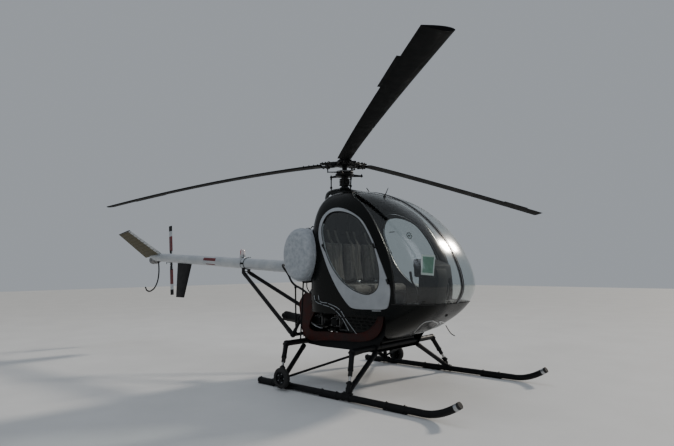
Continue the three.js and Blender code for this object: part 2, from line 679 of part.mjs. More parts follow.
function swashplate() {
  const ring = bar(v(0, 0, 2452), v(0, 0, 2498), 118, 118, 18);
  const pieces = [ring];
  for (const degrees of [60, 180, 300]) {
    const a = degrees * Math.PI / 180;
    const out = v(Math.cos(a) * 230, Math.sin(a) * 230, 2475);
    pieces.push(bar(v(0, 0, 2475), out, 15));
    pieces.push(ball(out, 20));
  }
  pieces.push(bar(v(-230, 0, 2475), v(-230, 0, 2280), 9));
  const bore = bar(v(0, 0, 2400), v(0, 0, 2600), MAST.outer + GAP, MAST.outer + GAP, 16);
  const fairingTop = prism(FAIRING_SIDE.map(([x, z]) => [x, z + GAP]), -200, 200);
  return cut(join(...pieces), bore, fairingTop);
}

function rotorHub() {
  const z = ROTOR.hub;
  const pieces = [
    bar(v(0, 0, z - 44), v(0, 0, z + 44), HUB_RADIUS, HUB_RADIUS, 24),
    bar(v(0, 0, z + 43), v(0, 0, z + 94), 40, 30, 16),
    bar(v(0, 0, 2430), v(0, 0, z - 40), MAST.shaft, MAST.shaft, MAST.sides),
  ];
  for (const { azimuth } of BLADES) {
    const grip = join(
      box(60, ROTOR.root - GAP, -48, 48, z - 32, z + 32),
      box(150, 230, 45, 120, z - 26, z - 4),
    );
    const { from, to, r, lug } = LAG_DAMPER;
    const damper = join(
      bar(v(...from, z), v(...to, z), r, r, 12),
      box(from[0] - 22, from[0] + 22, from[1] - 12, -60, z - 22, z + 22),
      box(...lug, to[1] - 14, -40, z - 20, z + 20),
    );
    pieces.push(join(grip, damper).rotate([0, 0, azimuth]));
  }
  return join(...pieces);
}

function pitchLinks() {
  const ring = cut(bar(v(0, 0, 2504), v(0, 0, 2524), 112, 112, 18),
    bar(v(0, 0, 2490), v(0, 0, 2540), 60, 60, 18));
  const pieces = [ring];
  for (const { azimuth } of BLADES) {
    const link = join(
      bar(v(95, 50, 2514), v(190, 100, 2514), 9),
      bar(v(190, 100, 2514), v(190, 100, ROTOR.hub - 26 - GAP), 8),
    );
    pieces.push(link.rotate([0, 0, azimuth]));
  }
  return join(...pieces);
}

function mainBlade({ azimuth, droop, bend }) {
  const rings = BLADE_STATIONS.map((r) => {
    const share = (r - ROTOR.root) / (ROTOR.radius - ROTOR.root);
    const z = ROTOR.hub - droop * share ** bend;
    const pitch = (TWIST.root + (TWIST.tip - TWIST.root) * share) * Math.PI / 180;
    const [c, s] = [Math.cos(pitch), Math.sin(pitch)];
    return BLADE_SECTION.map(([a, b]) => {
      const [forward, up] = [a * ROTOR.chord, b * ROTOR.thick];
      return v(r, forward * c - up * s, z + forward * s + up * c);
    });
  });
  return loft(rings).rotate([0, 0, azimuth]);
}

// Landing gear
function skidTube(grow = 0) {
  const { z, r, aft, flat, tip } = SKID;
  const straight = bar(v(aft - grow, 0, z), v(flat, 0, z), r + grow, r + grow, 12);
  const bend = new THREE.QuadraticBezierCurve3(v(flat - 1, 0, z), v(1900, 0, z), v(tip[0], 0, tip[1]));
  return join(straight, tubeAlong(bend, r + grow, 7, 12));
}

function skid(side) {
  const y = side * SKID.y;
  const tube = skidTube().translate([0, y, 0]);
  const clamp = bar(v(WHEEL.x - 24, y, SKID.z + 2), v(WHEEL.x + 24, y, SKID.z + 2), 37, 37, 14);
  const arm = bar(v(WHEEL.x, y, SKID.z + 4), v(WHEEL.x, side * (SKID.y + 20), WHEEL.z), 15);
  const axle = bar(v(WHEEL.x, y, WHEEL.z), v(WHEEL.x, side * (WHEEL.y + 34), WHEEL.z), WHEEL.axle,
    WHEEL.axle, 12);
  const shoes = SHOES.at.map((x) => box(x - SHOES.length / 2, x + SHOES.length / 2,
    y - SHOES.half, y + SHOES.half, 0, SHOES.top));
  return join(tube, clamp, arm, axle, ...shoes);
}

function wheel(side) {
  const h = WHEEL.width / 2;
  const profile = [[WHEEL.axle + GAP, -h + 14], [52, -h + 14], [62, -h + 4], [92, -h], [104, -h + 8],
    [WHEEL.r, -10], [WHEEL.r, 10], [104, h - 8], [92, h], [62, h - 4], [52, h - 14],
    [WHEEL.axle + GAP, h - 14], [WHEEL.axle + GAP, -h + 14]];
  return turned(profile, v(WHEEL.x, side * WHEEL.y, WHEEL.z), v(0, 1, 0), 20);
}

function beamSolid(x, grow = 0) {
  return bar(v(x, -BEAM.half, BEAM.z), v(x, BEAM.half, BEAM.z), BEAM.r + grow, BEAM.r + grow, 16);
}

function leg(end, side) {
  const at = ([x, y, z]) => v(x, side * y, z);
  const { top, damper, heel, foot } = LEGS[end];
  const half = at(damper).lerp(at(heel), 0.62);
  const pieces = [
    bar(at(top), at(foot), 27),
    bar(at(damper), half, 30),
    bar(at(damper), at(heel), 17),
    bar(at(heel), at(foot), 26),
    ball(at(heel), 28),
  ];
  if (end === 'rear') {
    pieces.push(bar(at([-95, 950, 95]), at([753, 338, 440]), 13));
  }
  const skids = skidTube(GAP).translate([0, side * SKID.y, 0]);
  return cut(join(...pieces), beamSolid(BEAM.front, GAP), beamSolid(BEAM.rear, GAP), skids);
}

// The part's pieces: name, colour, roughness, metalness, solid
const PAINT = { colour: 0x0d1411, roughness: 0.25, metalness: 0.2 };
const WHITE = { colour: 0xd9dbd8, roughness: 0.4, metalness: 0 };
const STEEL = { colour: 0x15171a, roughness: 0.5, metalness: 0.4 };
const BARE = { colour: 0x8b8e90, roughness: 0.45, metalness: 0.9 };
const RED = { colour: 0x5a1d14, roughness: 0.6, metalness: 0.1 };
const TINT = { colour: 0x2a3236, roughness: 0.05, metalness: 0 };
const CLOTH = { colour: 0x4d4a45, roughness: 0.9, metalness: 0 };
const RUBBER = { colour: 0x161616, roughness: 0.9, metalness: 0 };

const helicopter = new THREE.Group();

function add(name, finish, piece) {
  const { vertProperties, triVerts } = piece.getMesh();
  const shape = new THREE.BufferGeometry();
  shape.setAttribute('position', new THREE.BufferAttribute(new Float32Array(vertProperties), 3));
  shape.setIndex(new THREE.BufferAttribute(new Uint32Array(triVerts), 1));
  shape.computeVertexNormals();
  const material = new THREE.MeshStandardMaterial({
    color: finish.colour, roughness: finish.roughness, metalness: finish.metalness });
  const mesh = new THREE.Mesh(shape, material);
  mesh.name = name;
  helicopter.add(mesh);
}

add('canopy_frame', PAINT, canopyFrame());
add('cabin_lower_shell', PAINT, lowerShell());
add('rear_fairing', PAINT, rearFairing());
add('firewall', STEEL, firewall());
add('cabin_floor', STEEL, cabinFloor());
add('seat_base', PAINT, seatBase());
add('seat_cushion', CLOTH, seatCushion());
add('seat_back', CLOTH, seatBack());
add('instrument_console', STEEL, instrumentConsole());
add('cyclic_sticks', STEEL, cyclicSticks());
add('engine', BARE, engineBlock());
add('fan_scroll', RED, fanScroll());
add('belt_drive', STEEL, beltDrive());
add('main_gearbox', BARE, mainGearbox());
add('exhaust_muffler', STEEL, exhaustMuffler());
add('centre_frame', STEEL, centreFrame());
add('engine_bay_frame', RED, bayFrame());
for (const [name, side] of Object.entries(SIDES)) add(`bay_panel_${name}`, PAINT, bayPanel(side));
add('mast_support', STEEL, mastSupport());
add('mast_fairing', PAINT, mastFairing());
add('swashplate', STEEL, swashplate());
add('rotor_hub', STEEL, rotorHub());
add('pitch_links', STEEL, pitchLinks());
BLADES.forEach((blade, i) => add(`main_blade_${i + 1}`, RUBBER, mainBlade(blade)));
add('tail_boom', WHITE, tailBoom());
add('boom_clamp', STEEL, boomClamp());
add('beacon', RED, beacon());
add('tail_gearbox', BARE, tailGearbox());
add('tail_rotor', RED, tailRotor());
add('ventral_fin', PAINT, ventralFin());
add('stabilizer', WHITE, stabilizer());
add('tail_skid', STEEL, tailSkid());
add('cross_beam_front', STEEL, beamSolid(BEAM.front));
add('cross_beam_rear', STEEL, beamSolid(BEAM.rear));
for (const [name, side] of Object.entries(SIDES)) {
  add(`windshield_${name}`, TINT, windshield(side));
  add(`door_${name}`, WHITE, join(doorSolid(side), hingeBarrels(side)));
  add(`door_window_${name}`, TINT, doorGlass(side));
  add(`fuel_tank_${name}`, WHITE, fuelTank(side));
  add(`tail_strut_${name}`, STEEL, tailStrut(side));
  add(`skid_${name}`, STEEL, skid(side));
  add(`wheel_${name}`, RUBBER, wheel(side));
  for (const end of Object.keys(LEGS)) add(`leg_${end}_${name}`, STEEL, leg(end, side));
}

for (const mesh of helicopter.children) mesh.position.set(ORIGIN.x, ORIGIN.y, 0);

export default helicopter;
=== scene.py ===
import bpy
from math import atan2, copysign, cos, pi, radians, sin, sqrt
from mathutils import Matrix, Vector


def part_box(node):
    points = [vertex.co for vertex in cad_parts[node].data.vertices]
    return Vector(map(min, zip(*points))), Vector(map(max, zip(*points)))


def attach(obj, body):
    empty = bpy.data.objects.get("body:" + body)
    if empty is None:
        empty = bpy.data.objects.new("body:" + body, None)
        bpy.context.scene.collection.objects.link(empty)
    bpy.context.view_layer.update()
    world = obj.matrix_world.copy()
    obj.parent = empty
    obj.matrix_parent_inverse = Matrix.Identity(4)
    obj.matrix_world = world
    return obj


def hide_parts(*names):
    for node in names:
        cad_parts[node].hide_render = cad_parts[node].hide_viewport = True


# A light three-seat helicopter. Metres, +Z up, nose towards +X, its left side +Y.
# Shapes are modelled in stations, which count from the mast axis and the ground, and are
# moved to the part's own frame when they are finished.
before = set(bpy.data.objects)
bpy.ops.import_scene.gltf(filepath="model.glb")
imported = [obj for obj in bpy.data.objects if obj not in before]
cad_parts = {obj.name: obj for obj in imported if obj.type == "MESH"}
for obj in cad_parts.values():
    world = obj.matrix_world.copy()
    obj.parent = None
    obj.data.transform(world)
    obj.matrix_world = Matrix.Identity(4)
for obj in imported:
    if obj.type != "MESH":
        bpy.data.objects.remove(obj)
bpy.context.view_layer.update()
bpy.ops.object.select_all(action="DESELECT")

MM = 0.001
mast_low, mast_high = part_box("mast_support")
MAST_FOOT = Vector(((mast_low.x + mast_high.x) / 2, (mast_low.y + mast_high.y) / 2, 0))
SIDES = {"right": -1, "left": 1}

# Cabin: a closed egg, given by its side profile and its half width
CABIN = {"x": 0.339, "z": 1.104, "front": 1.282, "rear": 0.5, "up": 1.118, "down": 0.674,
         "half": 0.642}
MIDDLE = Vector((CABIN["x"], 0, CABIN["z"]))
FRONT_POWER = 1.71
REAR_POWER = 4
RIM_POWER = 3.27
SIDE_POWER = 4
WALL = 0.025
GAP = 0.0003
RUN = 0.005
BELT_Z = 0.93
SILL_Z = 0.8
STRIP_HALF = 0.018
FIREWALL_X = 0.06
FLOOR_TOP = 0.85
BEYOND = 0.9          # past the cabin on any side
SHARP_ANGLE = radians(50)
SMOOTH_ANGLE = radians(38)

# Outlines of the cabin's openings, (x, z)
DOOR = [(0.4, 1.982), (0.24, 1.97), (0.138, 1.87), (0.12, 1.69), (0.225, 1.43),
        (0.319, 1.243), (0.425, 1.08), (0.548, 0.935), (0.612, 0.882), (0.68, 0.868),
        (0.82, 0.868), (1.0, 0.874), (1.062, 0.892), (1.092, 0.948), (1.116, 1.085),
        (1.082, 1.185), (0.974, 1.425), (0.868, 1.634), (0.7, 1.842)]
DOOR_WINDOW = [(0.4, 1.938), (0.24, 1.915), (0.17, 1.78), (0.215, 1.58), (0.335, 1.34),
               (0.5, 1.16), (0.7, 1.052), (0.86, 1.028), (0.962, 1.09), (0.985, 1.24),
               (0.93, 1.46), (0.825, 1.66), (0.66, 1.845)]
SHIELD_EDGE = [(1.158, BELT_Z), (1.15, 1.178), (1.084, 1.433), (0.972, 1.645), (0.813, 1.871),
               (0.673, 2.005), (0.445, 2.162), (0.33, 2.3)]
BAY_EDGE = [(1.13, SILL_Z), (1.02, SILL_Z), (0.99, 0.69), (0.85, 0.5), (0.79, 0.38)]

# Camera: where the photograph was taken from, as a station
EYE = Vector((4.242, -4.97, 1.305))
VIEW_HEADING = radians(131.36)
VIEW_PITCH = radians(4.92)
VIEW_ROLL = radians(-0.29)
FOCAL_MM = 27.81
SENSOR_MM = 36


# Helpers: selecting, applying, joining and cutting

def only(*pieces):
    """Selects these pieces alone, the first one active."""
    bpy.ops.object.select_all(action="DESELECT")
    for piece in pieces:
        piece.select_set(True)
    bpy.context.view_layer.objects.active = pieces[0]


def apply_place(piece):
    only(piece)
    bpy.ops.object.transform_apply(location=True, rotation=True, scale=True)
    return piece


def in_edit_mode(piece, *steps):
    """Runs edit-mode operators in turn, with all of the piece selected first."""
    only(piece)
    bpy.ops.object.mode_set(mode="EDIT")
    bpy.ops.mesh.select_all(action="SELECT")
    for step in steps:
        step()
    bpy.ops.object.mode_set(mode="OBJECT")
    return piece


def face_outwards():
    bpy.ops.mesh.select_all(action="SELECT")
    bpy.ops.mesh.normals_make_consistent(inside=False)


def modify(piece, kind, **settings):
    """Adds one modifier with its settings and applies it."""
    only(piece)
    bpy.ops.object.modifier_add(type=kind)
    modifier = piece.modifiers[-1]
    for key, value in settings.items():
        setattr(modifier, key, value)
    bpy.ops.object.modifier_apply(modifier=modifier.name)
    return piece


def rounded(piece, width, segments=2):
    """Softens the sharp edges."""
    return modify(piece, "BEVEL", width=width, segments=segments, limit_method="ANGLE",
                  angle_limit=SHARP_ANGLE)


def join(first, *others):
    only(first, *others)
    if others:
        bpy.ops.object.join()
    return first


def another(piece):
    """A copy with a mesh of its own."""
    only(piece)
    bpy.ops.object.duplicate()
    return bpy.context.object


def boolean(piece, tool, operation):
    modify(piece, "BOOLEAN", object=tool, operation=operation, solver="MANIFOLD")
    bpy.data.objects.remove(tool)
    return piece


def cut(piece, *tools):
    for tool in tools:
        boolean(piece, tool, "DIFFERENCE")
    return piece


def within(piece, *tools):
    for tool in tools:
        boolean(piece, tool, "INTERSECT")
    return piece


def painted(piece, finish):
    piece.data.materials.clear()
    piece.data.materials.append(finish)
    return piece


def all_painted(pieces, finish):
    for piece in pieces:
        painted(piece, finish)
    return pieces


def moved(piece, place=(0, 0, 0), **turns):
    """Turned about each named axis, in degrees, and moved."""
    for axis, degrees in turns.items():
        setattr(piece.rotation_euler, axis, radians(degrees))
    piece.location = place
    return apply_place(piece)


def settle(piece, name, slot, *nodes, body="airframe"):
    """Finishes a piece: smooth shading, its place in the frame, its body and CAD nodes. Its slot is not used.
    """
    only(piece)
    bpy.ops.object.shade_smooth_by_angle(angle=SMOOTH_ANGLE)
    moved(piece, MAST_FOOT)
    piece.name = name
    piece.data.name = name
    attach(piece, body)
    if nodes:
        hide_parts(*nodes)


# Helpers: shapes

def rod(start, end, r0, r1=None, sides=24):
    """A round bar, or a cone, from start to end."""
    start, end = Vector(start), Vector(end)
    along = end - start
    bpy.ops.mesh.primitive_cone_add(
        vertices=sides, radius1=r0, radius2=r0 if r1 is None else r1, depth=along.length,
        location=(start + end) / 2, rotation=along.to_track_quat("Z", "Y").to_euler())
    return apply_place(bpy.context.object)


def block(x0, x1, y0, y1, z0, z1, round_by=0.003, segments=2):
    bpy.ops.mesh.primitive_cube_add(size=1, location=((x0 + x1) / 2, (y0 + y1) / 2, (z0 + z1) / 2),
                                    scale=(abs(x1 - x0), abs(y1 - y0), abs(z1 - z0)))
    piece = apply_place(bpy.context.object)
    return rounded(piece, round_by, segments) if round_by else piece


def ball(place, r, sides=24):
    bpy.ops.mesh.primitive_uv_sphere_add(segments=sides, ring_count=sides // 2, radius=r,
                                         location=place)
    return apply_place(bpy.context.object)


def turned(profile, place, axis=(0, 0, 1), sides=40):
    """A profile of (radius, height) pairs, turned about an axis through a place."""
    (first_r, first_h), *rest = profile
    bpy.ops.mesh.primitive_circle_add(vertices=sides, radius=first_r, fill_type="NGON",
                                      location=(0, 0, first_h))
    piece = apply_place(bpy.context.object)
    bpy.ops.object.mode_set(mode="EDIT")
    bpy.ops.mesh.select_all(action="SELECT")
    r, h = first_r, first_h
    for next_r, next_h in rest:
        bpy.ops.mesh.extrude_region_move(
            TRANSFORM_OT_translate={"value": (0, 0, next_h - h)})
        bpy.ops.transform.resize(value=(next_r / r, next_r / r, 1))
        r, h = next_r, next_h
    face_outwards()
    bpy.ops.object.mode_set(mode="OBJECT")
    piece.rotation_euler = Vector(axis).to_track_quat("Z", "Y").to_euler()
    piece.location = place
    return apply_place(piece)


def eased_rod(start, end, r, lip=0.002, sides=32):
    """A round bar with its edges eased."""
    start, end = Vector(start), Vector(end)
    length = (end - start).length
    return turned([(r - lip, 0), (r, lip), (r, length - lip), (r - lip, length)], start, end - start, sides)


def collar(start, end, share, r, half=0.01, sides=32):
    """A band round a bar, at a share of its length."""
    start, end = Vector(start), Vector(end)
    middle = start.lerp(end, share)
    half_way = (end - start).normalized() * half
    return eased_rod(middle - half_way, middle + half_way, r, 0.0015, sides)


def bolt(place, axis, r=0.008, length=0.012):
    """A hexagon head on a washer, out along the axis."""
    washer = turned([(r * 1.25, 0), (r * 1.25, length * 0.25)], place, axis, 16)
    head = turned([(r, length * 0.25), (r, length * 0.9), (r * 0.86, length)], place, axis, 6)
    return join(washer, head)


def around(count, r=1.0, start=0.0):
    """Pairs at even steps round a circle."""
    return [(r * cos(start + 2 * pi * i / count), r * sin(start + 2 * pi * i / count)) for i in range(count)]


def on_side(place, side):
    return Vector((place[0], side * place[1], place[2]))


def bent(points, radius, closed=False, steps=6, fineness=3):
    """A round tube along a smooth curve through the points."""
    bpy.ops.curve.primitive_bezier_curve_add()
    tube = bpy.context.object
    spline = tube.data.splines[0]
    spline.bezier_points.add(len(points) - 2)
    for knot, place in zip(spline.bezier_points, points):
        knot.co = place
        knot.handle_left_type = "AUTO"
        knot.handle_right_type = "AUTO"
    spline.use_cyclic_u = closed
    tube.data.resolution_u = steps
    tube.data.bevel_depth = radius
    tube.data.bevel_resolution = fineness
    tube.data.use_fill_caps = not closed
    bpy.ops.object.convert(target="MESH")
    piece = bpy.context.object
    return in_edit_mode(piece, lambda: bpy.ops.mesh.remove_doubles(threshold=0.01 * MM), face_outwards)


def prism(outline, reach):
    """A flat outline of places as a solid that goes on by reach."""
    bpy.ops.mesh.primitive_circle_add(vertices=len(outline), fill_type="NGON")
    piece = bpy.context.object
    for vertex, place in zip(piece.data.vertices, outline):
        vertex.co = place
    return in_edit_mode(
        piece,
        lambda: bpy.ops.mesh.extrude_region_move(TRANSFORM_OT_translate={"value": reach}),
        face_outwards)


def slab(outline, y0, y1):
    """An outline of (x, z) points as a solid from y0 to y1."""
    return prism([(x, y0, z) for x, z in outline], (0, y1 - y0, 0))


def loft(sections):
    """A closed body through like rings of points."""
    count = len(sections[0])
    bpy.ops.mesh.primitive_grid_add(x_subdivisions=count, y_subdivisions=len(sections) - 1)
    piece = bpy.context.object
    for j, section in enumerate(sections):
        for i in range(count + 1):
            piece.data.vertices[j * (count + 1) + i].co = section[i % count]
    return in_edit_mode(
        piece,
        lambda: bpy.ops.mesh.remove_doubles(threshold=0.001 * MM),
        lambda: bpy.ops.mesh.fill_holes(sides=0),
        face_outwards)


def smooth_line(points, count, closed=False):
    """A centripetal curve through the points, as count pairs of place and direction."""
    points = [Vector(p) for p in points]
    if closed:
        spans = len(points)
        points = [points[-1], *points, points[0], points[1]]
    else:
        spans = len(points) - 1
        points = [points[0] * 2 - points[1], *points, points[-1] * 2 - points[-2]]
    line = []
    for i in range(count):
        place = i * spans / (count if closed else count - 1)
        k = min(int(place), spans - 1)
        t = place - k
        p0, p1, p2, p3 = points[k:k + 4]
        d0, d1, d2 = (sqrt((b - a).length) for a, b in ((p0, p1), (p1, p2), (p2, p3)))
        m1 = ((p1 - p0) / d0 - (p2 - p0) / (d0 + d1) + (p2 - p1) / d1) * d1
        m2 = ((p2 - p1) / d1 - (p3 - p1) / (d1 + d2) + (p3 - p2) / d2) * d1
        spot = (p1 * (2 * t ** 3 - 3 * t * t + 1) + m1 * (t ** 3 - 2 * t * t + t)
                + p2 * (3 * t * t - 2 * t ** 3) + m2 * (t ** 3 - t * t))
        way = (p1 * (6 * t * t - 6 * t) + m1 * (3 * t * t - 4 * t + 1)
               + p2 * (6 * t - 6 * t * t) + m2 * (3 * t * t - 2 * t))
        line.append((spot, way.normalized()))
    return line


def flat_line(points, count, closed=False):
    """A smooth curve through flat points, as pairs."""
    return [(p.x, p.y) for p, _ in smooth_line(points, count, closed)]


def outline(pairs, count=96, grow=0.0):
    """A smooth closed outline through (x, z) pairs, moved outwards by grow."""
    return [(p.x + way.y * grow, p.y - way.x * grow)
            for p, way in smooth_line(pairs, count, closed=True)]


def signed_power(value, power):
    return copysign(abs(value) ** power, value)


def spread(dx, dz, inset):
    """The cabin's length, curve and height on the side of its middle that dx and dz lie on."""
    return (CABIN["front" if dx >= 0 else "rear"] - inset, FRONT_POWER if dx >= 0 else REAR_POWER,
            CABIN["up" if dz >= 0 else "down"] - inset)


def fullness(y, inset):
    """The share of its side view that the cabin keeps at a width: 1 in the middle, 0 at its side."""
    return (1 - min(1.0, abs(y) / (CABIN["half"] - inset)) ** SIDE_POWER) ** (1 / RIM_POWER)


# Shapes that are modelled once and then copied
patterns = {}


def egg(inset=0.0):
    """The cabin's closed skin, drawn in by inset."""
    if inset in patterns:
        return another(patterns[inset])
    bpy.ops.mesh.primitive_uv_sphere_add(segments=176, ring_count=88, radius=1)
    piece = bpy.context.object
    for vertex in piece.data.vertices:
        x, y, z = vertex.co
        turn = atan2(y, x)
        side = max(-1.0, min(1.0, z))
        full = (1 - abs(side) ** SIDE_POWER) ** (1 / RIM_POWER)
        c, s = cos(turn), sin(turn)
        length, power, height = spread(c, s, inset)
        vertex.co = (CABIN["x"] + signed_power(c, 2 / power) * length * full,
                     side * (CABIN["half"] - inset),
                     CABIN["z"] + signed_power(s, 2 / power) * height * full)
    patterns[inset] = in_edit_mode(piece, face_outwards)
    return another(piece)


def skin(x, z, side, inset=0.0):
    """The cabin's skin at a side-view point, on one side."""
    dx, dz = x - CABIN["x"], z - CABIN["z"]
    length, power, height = spread(dx, dz, inset)
    share = min(1.0, (abs(dx / length) ** power + abs(dz / height) ** power) ** (1 / power))
    breadth = (1 - share ** RIM_POWER) ** (1 / SIDE_POWER)
    return Vector((x, side * breadth * (CABIN["half"] - inset), z))


def top_skin(x, y, up=1, inset=0.0):
    """The cabin's skin above (up = 1) or below (up = -1) a plan point."""
    dx = x - CABIN["x"]
    length, power, height = spread(dx, up, inset)
    rise = max(0.0, fullness(y, inset) ** power - abs(dx / length) ** power) ** (1 / power)
    return Vector((x, y, CABIN["z"] + up * rise * height))


def front_skin(y, z, inset=0.0):
    """The cabin's skin ahead of its middle, at a width and a height."""
    dz = z - CABIN["z"]
    length, power, height = spread(1, dz, inset)
    run = max(0.0, fullness(y, inset) ** power - abs(dz / height) ** power) ** (1 / power)
    return Vector((CABIN["x"] + run * length, y, z))


def egg_wall(outer=0.0, inner=WALL):
    if (outer, inner) not in patterns:
        patterns[outer, inner] = cut(egg(outer), egg(inner))
    return another(patterns[outer, inner])


def side_slab(points, side):
    """An outline cut through one side of the cabin."""
    near = (0.1, BEYOND) if side > 0 else (-BEYOND, -0.1)
    return slab(points, *near)


# Helpers: finishes

# The part of a noise's range, 0 to 1, that its two shades are spread over
CLOUD_SPAN = (0.3, 0.7)
# Bands in one unit of a wave texture at scale 1
WAVE_BANDS = 3.2


def linear(hex_colour):
    """An sRGB hex colour as linear values."""
    parts = [int(hex_colour[i:i + 2], 16) / 255 for i in (1, 3, 5)]
    return (*(p / 12.92 if p <= 0.04045 else ((p + 0.055) / 1.055) ** 2.4 for p in parts), 1.0)


def add_node(material, kind, settings=None, links=None):
    """One node, with plain settings or socket values, and links from other nodes' outputs."""
    tree = material.node_tree
    node = tree.nodes.new(kind)
    for key, value in (settings or {}).items():
        if isinstance(key, str) and hasattr(node, key):
            setattr(node, key, value)
        else:
            node.inputs[key].default_value = value
    for key, output in (links or {}).items():
        tree.links.new(output, node.inputs[key])
    return node


def new_material(name, shader_settings):
    material = bpy.data.materials.new(name)
    material.use_nodes = True
    shader = material.node_tree.nodes["Principled BSDF"]
    for key, value in shader_settings.items():
        shader.inputs[key].default_value = value
    return material, shader


def speckled(material, shader, light, dark, size_mm, roughness, bump_mm, grain_mm):
    """Colour between two shades and roughness between two values, by noise of a real size."""
    place = add_node(material, "ShaderNodeTexCoord").outputs["Object"]
    cloud = add_node(material, "ShaderNodeTexNoise",
                     {"Scale": 1 / (size_mm * MM), "Detail": 4.0, "Roughness": 0.6},
                     {"Vector": place}).outputs["Fac"]
    ramp = add_node(material, "ShaderNodeValToRGB", {}, {"Fac": cloud})
    for element, position, colour in zip(ramp.color_ramp.elements, CLOUD_SPAN, (dark, light)):
        element.position = position
        element.color = linear(colour)
    gloss = add_node(material, "ShaderNodeMapRange",
                     {"From Min": CLOUD_SPAN[0], "From Max": CLOUD_SPAN[1],
                      "To Min": roughness[0], "To Max": roughness[1]}, {"Value": cloud})
    link = material.node_tree.links.new
    link(ramp.outputs["Color"], shader.inputs["Base Color"])
    link(gloss.outputs["Result"], shader.inputs["Roughness"])
    if bump_mm:
        grain = add_node(material, "ShaderNodeTexNoise",
                         {"Scale": 1 / ((grain_mm or size_mm / 8) * MM), "Detail": 3.0, "Roughness": 0.6},
                         {"Vector": place})
        relief = add_node(material, "ShaderNodeBump", {"Strength": 0.35, "Distance": bump_mm * MM},
                          {"Height": grain.outputs["Fac"]})
        link(relief.outputs["Normal"], shader.inputs["Normal"])
    return place


def coating(name, light, dark, size_mm, roughness, bump_mm=0.0, grain_mm=None, **sockets):
    """A speckled material. A socket is given with _ for each space in its name."""
    material, shader = new_material(name, {key.replace("_", " "): value for key, value in sockets.items()})
    speckled(material, shader, light, dark, size_mm, roughness, bump_mm, grain_mm)
    return material


def smoked_acrylic():
    """Stretched acrylic sheet: see-through with a smoky tint and a sharp, clear reflection."""
    material = bpy.data.materials.new("smoked_acrylic")
    material.use_nodes = True
    tree = material.node_tree
    tree.nodes.remove(tree.nodes["Principled BSDF"])
    clear = add_node(material, "ShaderNodeBsdfTransparent", {"Color": linear("#eef1f1")})
    mirror = add_node(material, "ShaderNodeBsdfGlossy", {"Color": linear("#ffffff"), "Roughness": 0.14})
    # Schlick's curve: 4 % face on and a full mirror at a glancing angle, alike on both faces
    facing = add_node(material, "ShaderNodeLayerWeight", {"Blend": 0.5})
    glance = add_node(material, "ShaderNodeMath", {"operation": "POWER", 1: 5.0},
                      {0: facing.outputs["Facing"]})
    edge = add_node(material, "ShaderNodeMath", {"operation": "MULTIPLY_ADD", 1: 0.96, 2: 0.04},
                    {0: glance.outputs[0]})
    sheet = add_node(material, "ShaderNodeMixShader", {},
                     {"Fac": edge.outputs[0], 1: clear.outputs["BSDF"], 2: mirror.outputs["BSDF"]})
    tree.links.new(sheet.outputs["Shader"], tree.nodes["Material Output"].inputs["Surface"])
    return material


def wool_blend_cloth():
    """Woven grey-brown seat cloth: a soft sheen over a fine basket weave."""
    material, shader = new_material("wool_blend_cloth", {"Sheen Weight": 0.3, "Sheen Roughness": 0.5})
    place = speckled(material, shader, "#77716a", "#565049", 30, (0.8, 0.95), 0.0, None)
    # Threads are 3 mm apart, about three times the real ones, so that they show
    waves = [add_node(material, "ShaderNodeTexWave",
                      {"bands_direction": way, "Scale": 1 / (3 * MM) / WAVE_BANDS, "Distortion": 0.6,
                       "Detail": 1.0}, {"Vector": place}).outputs["Fac"] for way in ("Y", "DIAGONAL")]
    weave = add_node(material, "ShaderNodeMath", {"operation": "MULTIPLY"}, {0: waves[0], 1: waves[1]})
    relief = add_node(material, "ShaderNodeBump", {"Strength": 0.5, "Distance": 0.8 * MM},
                      {"Height": weave.outputs["Value"]})
    material.node_tree.links.new(relief.outputs["Normal"], shader.inputs["Normal"])
    return material


def woven_webbing():
    """Polyester harness webbing: dull grey-brown with fine ribs across, 2 mm apart."""
    material, shader = new_material("woven_webbing", {"Sheen Weight": 0.2})
    place = speckled(material, shader, "#57534a", "#403d36", 20, (0.7, 0.85), 0.0, None)
    ribs = add_node(material, "ShaderNodeTexWave",
                    {"bands_direction": "Z", "Scale": 1 / (2 * MM) / WAVE_BANDS}, {"Vector": place})
    relief = add_node(material, "ShaderNodeBump", {"Strength": 0.4, "Distance": 0.3 * MM},
                      {"Height": ribs.outputs["Fac"]})
    material.node_tree.links.new(relief.outputs["Normal"], shader.inputs["Normal"])
    return material


# Each has its light and dark shade, the size of its clouds in mm, its roughness, and the depth
# and size of its grain
# Pale matt studio floor
FLOOR = coating("floor_paint", "#cacbca", "#c2c3c2", 900, (0.7, 0.8))
# Sprayed green-black enamel: a wet gloss with soft orange peel and light dust
BLACK = coating("polyurethane_enamel_black", "#0b0e0d", "#060807", 260, (0.2, 0.32),
                bump_mm=0.06, grain_mm=25, Specular_IOR_Level=0.17)
# Sprayed white enamel, a little chalky, with both its shades greyed as painted shade
WHITE = coating("polyurethane_enamel_white", "#b6babc", "#9ca2a7", 180, (0.3, 0.45), bump_mm=0.1, grain_mm=20,
                Coat_Weight=0.25, Coat_Roughness=0.12)
# White enamel over a filled and sanded tank skin: blotchy, with a dull orange peel, and greyed as painted
# shade
TANK_WHITE = coating("mottled_white_enamel", "#b2b7bb", "#8d949b", 45, (0.45, 0.6), bump_mm=0.8, grain_mm=14,
                     Coat_Weight=0.1, Coat_Roughness=0.3)
# Satin black over welded steel tube, dusty and dulled
STEEL = coating("satin_black_on_steel", "#121315", "#09090b", 60, (0.4, 0.6), bump_mm=0.25,
                Specular_IOR_Level=0.2)
# Red-brown enamel on sheet steel, darkened by oil and heat
RED_OXIDE = coating("red_oxide_enamel", "#40130c", "#1f0a06", 90, (0.45, 0.7), bump_mm=0.3,
                    Specular_IOR_Level=0.3)
